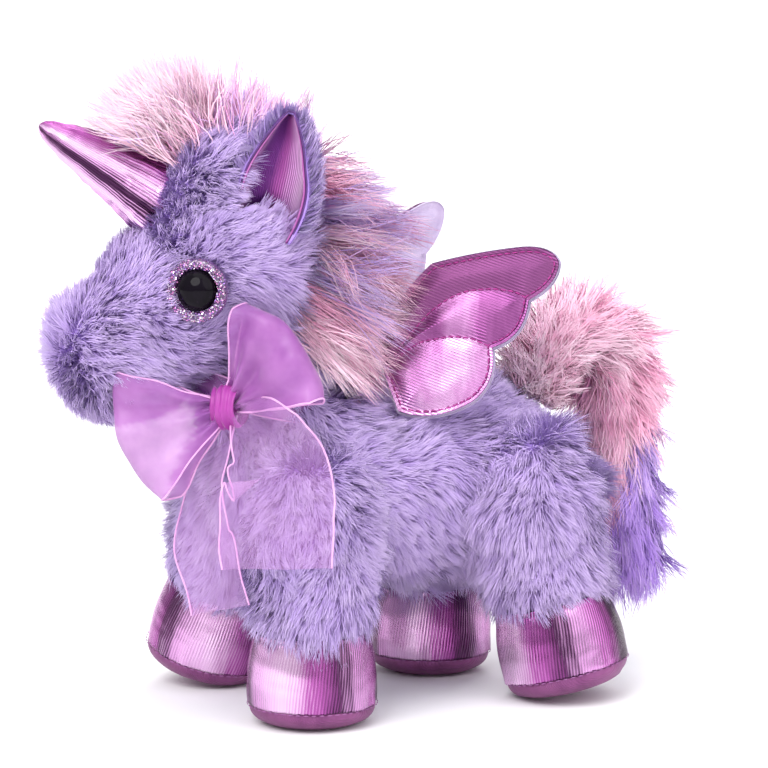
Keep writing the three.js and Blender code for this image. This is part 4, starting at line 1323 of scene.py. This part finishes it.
def build_tail():
    """A cloth core on a felt tape, with hair all round it: pale at the root, pink, then purple below."""
    rng = np.random.default_rng(104)
    line, tangents, s = tail_line(120)
    fall = np.clip(s / s[-1] * 2.2 - 0.5, 0, 1)
    line = line - 9.0 * (fall ** 2 * (3 - 2 * fall))[:, None] * np.array((0, 1.0, 0))
    cloth = np.interp(s, [0, 10, 60, s[-1] - 22, s[-1] - 12], [5.5, 6.5, 7, 6, 1])
    last = int(np.searchsorted(s, s[-1] - 12))
    skin = make_mesh("tail_cloth", *tube(line[2:last], cloth[2:last], 28), HAIR_BACKING)
    attach(skin, "tail", "long_pile", "tail_plume")
    core = make_mesh("tail_tape", *tube(line[3:46], 2.0, 14), FELT)
    attach(core, "tail", "felt", "tail_core")

    count = TAIL_STRANDS
    t = rng.uniform(0.0, 0.90, count)
    at = t * (len(line) - 1)
    low = at.astype(int)
    share = (at - low)[:, None]
    centre = line[low] * (1 - share) + line[low + 1] * share
    tangent = unit(tangents[low] * (1 - share) + tangents[low + 1] * share)
    side = np.array((1.0, 0, 0))
    other = np.cross(tangent, side)
    angle = rng.uniform(0, 2 * np.pi, count)
    radial = side * np.cos(angle)[:, None] + other * np.sin(angle)[:, None]
    roots = centre + radial * np.interp(at, np.arange(len(line)), cloth)[:, None] * 0.9
    falling = np.clip((t - 0.22) / 0.25, 0, 1)[:, None]
    down = np.array((0, 0, -1.0))
    start = unit(radial * (1.0 - 0.4 * falling) + tangent * (0.35 + 0.35 * falling))
    end = unit(radial * (0.8 - 0.68 * falling) + tangent * (0.55 + 0.3 * falling) + down * 0.35 * falling)
    length = np.interp(t, [0, 0.1, 0.3, 0.8, 0.9], [11, 15, 18, 19, 17]) + 1.6 * rng.normal(size=count)
    length = np.where((t < 0.18) & (radial[:, 2] < -0.2), 7, length)
    boundary = 0.60 + 0.05 * noise(roots, 14, 105) - 0.12 * radial[:, 1]
    shade = np.where(t < boundary, 0.40 + 0.10 * noise(roots, 9, 106), 0.92 + 0.07 * noise(roots, 9, 107))
    shade = shade - np.interp(t, [0.15, 0.35], [0.24, 0.02])
    shade = np.clip(shade + 0.05 * rng.normal(size=count), 0.04, 0.97)
    groups = np.minimum((t * 3 / 0.9).astype(int), 2)
    for i, part in enumerate(("upper", "middle", "lower")):
        chosen = groups == i
        hair(f"tail_{part}_hair", "tail", moved(roots[chosen], ORIGIN), radial[chosen], start[chosen],
             end[chosen], length[chosen], shade[chosen], rng, gather=0.45)


# ---- Organza bow ------------------------------------------------------------------------------------
EDGE_RADIUS = 0.3


def ribbon(name, grid, node, frame=BOW, edges=True, material=ORGANZA):
    """A sheer strip from a rows by columns grid, with a satin cord along each long edge."""
    rows, columns, _ = grid.shape
    strip = make_mesh(name, grid.reshape(-1, 3), grid_faces(rows, columns), material, frame)
    attach(strip, "root", "organza", node)
    if edges:
        parts = [tube(grid[:, column], EDGE_RADIUS, 6) for column in (0, -1)]
        attach(make_mesh(f"{name}_edges", *joined(parts), SATIN, frame), "root", "organza")


def crumple(grid, amount, size, seed):
    """The grid pushed about by a smooth random amount, most of all along its third axis."""
    flat = grid.reshape(-1, 3)
    shift = np.stack([noise(flat, size, seed + i) for i in range(3)], axis=1) * amount
    return (flat + shift * np.array((0.5, 0.5, 1.0))).reshape(grid.shape)


def bow_loop(name, angle, length, width, depth, lean, seed):
    """One loop, in the bow's axes: out from the knot at an angle and back, opening and leaning forward."""
    rows, columns = 90, 56
    s = np.linspace(0.0, 1.0, rows)[:, None]
    v = np.linspace(-0.5, 0.5, columns)[None, :]
    open_out = np.sin(np.pi * s)
    along = BOW_START + (length - BOW_START) * open_out ** 0.8 * (1 - 0.20 * (2 * v) ** 2)
    high = depth / 2 * np.sin(2 * np.pi * s) * 0.9
    wide = 6.5 + (width - 6.5) * np.clip(open_out * 1.15, 0, 1) ** 0.75
    across = v * wide
    gathered = 1 - np.clip(open_out * 1.15, 0, 1) ** 0.8
    pleats = (0.35 + 1.5 * gathered) * np.sin(2 * np.pi * 2.6 * v + 1.5 * s + seed)
    a = math.radians(angle)
    x = along * math.cos(a) - across * math.sin(a)
    y = along * math.sin(a) + across * math.cos(a)
    grid = np.stack(np.broadcast_arrays(x, y, high + pleats + lean * along / length), axis=2)
    grid = crumple(grid, 0.9, 11, seed)
    ribbon(name, grid, f"bow_{name.split('_')[1]}_loop")


def bow_tail(name, points, widths, node, seed):
    """A hanging end, in the bow's axes: a strip along a route, its width given at each point of it."""
    rows, columns = 80, 48
    route = resampled(points, rows)
    share = np.linspace(0, 1, rows)
    wide = np.interp(share, np.linspace(0, 1, len(widths)), widths)[:, None]
    wide = smoothed(wide, 5)
    tangent = unit(np.gradient(route, axis=0))
    across = unit(np.cross(tangent, (0, 0, 1.0)))
    facing = np.cross(across, tangent)
    v = np.linspace(-0.5, 0.5, columns)[None, :]
    gathered = np.clip(1 - wide / max(widths), 0, 1)
    folds = (0.3 + 1.0 * gathered) * np.sin(2 * np.pi * 2.2 * v + 2 * share[:, None] + seed)
    grid = route[:, None] + across[:, None] * (v * wide)[:, :, None] + facing[:, None] * folds[:, :, None]
    ribbon(name, crumple(grid, 1.1, 14, seed), node, material=TAIL_ORGANZA)


def build_bow():
    bow_loop("bow_upper_organza", 43, 33, 38, 12, 5, 111)
    bow_loop("bow_lower_organza", 205, 29, 40, 13, 18, 121)
    bow_tail("bow_left_organza_tail", [(4, -1, 0), (14, -7, 9), (24, -18, 14), (26, -46, 15.5)],
             [9, 30, 38, 36], "bow_left_tail", 131)
    bow_tail("bow_right_organza_tail", [(0, -2, -2), (-4, -20, 3), (-5.5, -38, 3), (1, -61, 3)],
             [7, 12, 20, 19], "bow_right_tail", 141)

    rows, columns = 72, 30
    turn = np.linspace(0, 2 * np.pi, rows)[:, None]
    v = np.linspace(-0.5, 0.5, columns)[None, :]
    bulge = 1 + 0.10 * np.cos(2 * np.pi * v) + 0.07 * np.sin(2 * np.pi * 4 * v + turn)
    wide = 9.5 - 1.5 * np.cos(turn)
    y, z = 6.2 * np.sin(turn) * bulge, 4.6 * np.cos(turn) * bulge
    grid = np.stack(np.broadcast_arrays(v * wide, y, z), axis=2)
    ribbon("bow_knot_wrap", crumple(grid, 0.35, 6, 151), "bow_knot", edges=False,
           material=KNOT_ORGANZA)

    rows, columns = 150, 14
    turn = np.linspace(0, 2 * np.pi, rows)[:, None]
    v = np.linspace(-0.5, 0.5, columns)[None, :]
    reach = 23.6 + 0.5 * np.sin(2 * np.pi * 1.5 * v + 3 * turn)
    x, y = reach * np.sin(turn), -9 - reach * np.cos(turn)
    z = 97 - 0.28 * (y + 9) + v * 8.5 + 0.6 * np.sin(4 * turn)
    grid = np.stack(np.broadcast_arrays(x, y, z), axis=2)
    ribbon("neck_organza", crumple(grid, 0.3, 9, 161), "neck_ribbon", HEAD)


# ---- Camera, light and floor -----------------------------------------------------------------------
CAMERA_AZIMUTH, CAMERA_ELEVATION = 62, 8
CAMERA_DISTANCE, CAMERA_LENS = 1.150, 172.5      # metres, and millimetres on a 36 mm sensor
CAMERA_TARGET = (1.08, 2.04, 97.87)
SUNS = [                       # name, azimuth, elevation, strength, softness, all angles in degrees
    ("key", 34, 42, 2.3, 40), ("fill", 112, 34, 1.1, 60), ("top", 60, 84, 0.7, 50), ("rim", 230, 40, 0.9, 30)]
SKY = [(0.0, 0.95), (0.42, 0.90), (0.5, 0.65), (0.58, 0.65), (0.70, 0.90), (1.0, 1.1)]


def direction(azimuth, elevation):
    """The way towards a place seen from the toy. Azimuth 0 is in front of it, and 90 is on its left."""
    a, e = math.radians(azimuth), math.radians(elevation)
    return Vector((math.sin(a) * math.cos(e), -math.cos(a) * math.cos(e), math.sin(e)))


def build_stage():
    floor_points = [(-8000, -8000, 0), (8000, -8000, 0), (8000, 8000, 0), (-8000, 8000, 0)]
    shader = Shader("floor_paper", (0.93, 0.93, 0.935), 0.9)
    shader.bump(shader.texture("Noise", Scale=400.0)["Fac"], 0.1, 0.1)
    floor = make_mesh("floor", floor_points, [(0, 1, 2, 3)], shader.material, smooth=False)
    floor.location.z = -0.0002

    world = bpy.data.worlds.new("studio")
    bpy.context.scene.world = world
    world.use_nodes = True
    tree = world.node_tree
    background = tree.nodes["Background"]
    path = tree.nodes.new("ShaderNodeLightPath")
    seen = tree.nodes.new("ShaderNodeBackground")
    seen.inputs["Color"].default_value = (1, 1, 1, 1)
    seen.inputs["Strength"].default_value = 1.0
    position = tree.nodes.new("ShaderNodeTexCoord")
    split = tree.nodes.new("ShaderNodeSeparateXYZ")
    tree.links.new(position.outputs["Generated"], split.inputs["Vector"])
    ramp = tree.nodes.new("ShaderNodeValToRGB")
    fill_ramp(ramp, [(place, (value, value, value * 1.02)) for place, value in SKY])
    half = tree.nodes.new("ShaderNodeMath")
    half.operation = "MULTIPLY_ADD"
    half.inputs[1].default_value = 0.5
    half.inputs[2].default_value = 0.5
    tree.links.new(split.outputs["Z"], half.inputs[0])
    tree.links.new(half.outputs["Value"], ramp.inputs["Fac"])
    tree.links.new(ramp.outputs["Color"], background.inputs["Color"])
    background.inputs["Strength"].default_value = 0.75
    mix = tree.nodes.new("ShaderNodeMixShader")
    tree.links.new(path.outputs["Is Camera Ray"], mix.inputs["Fac"])
    tree.links.new(background.outputs["Background"], mix.inputs[1])
    tree.links.new(seen.outputs["Background"], mix.inputs[2])
    tree.links.new(mix.outputs["Shader"], tree.nodes["World Output"].inputs["Surface"])

    for name, azimuth, elevation, power, softness in SUNS:
        light = bpy.data.lights.new(name, "SUN")
        light.energy = power
        light.angle = math.radians(softness)
        turn = direction(azimuth, elevation).to_track_quat("Z", "Y")
        add_object(name, light).rotation_euler = turn.to_euler()


def build_camera():
    target = Vector(moved([CAMERA_TARGET], ORIGIN)[0]) * MM
    way = direction(CAMERA_AZIMUTH, CAMERA_ELEVATION)
    data = bpy.data.cameras.new("camera")
    data.lens, data.sensor_width, data.clip_end = CAMERA_LENS, 36, 50
    camera = add_object("camera", data)
    camera.location = target + way * CAMERA_DISTANCE
    camera.rotation_euler = way.to_track_quat("Z", "Y").to_euler()
    bpy.context.scene.camera = camera


build_stage()
build_camera()
whole_skin = build_plush()
build_pile(*whole_skin)
build_fillings()
build_horn()
for side_name, side_sign in SIDES.items():
    build_eye(side_name, side_sign)
    build_ear(side_name, side_sign)
    build_wing(side_name, side_sign)
for leg_name, leg_sizes in LEGS.items():
    build_hoof(leg_name, leg_sizes)
build_forelock()
build_mane(*whole_skin)
build_tail()
build_bow()
bpy.context.scene.view_settings.view_transform = "Standard"
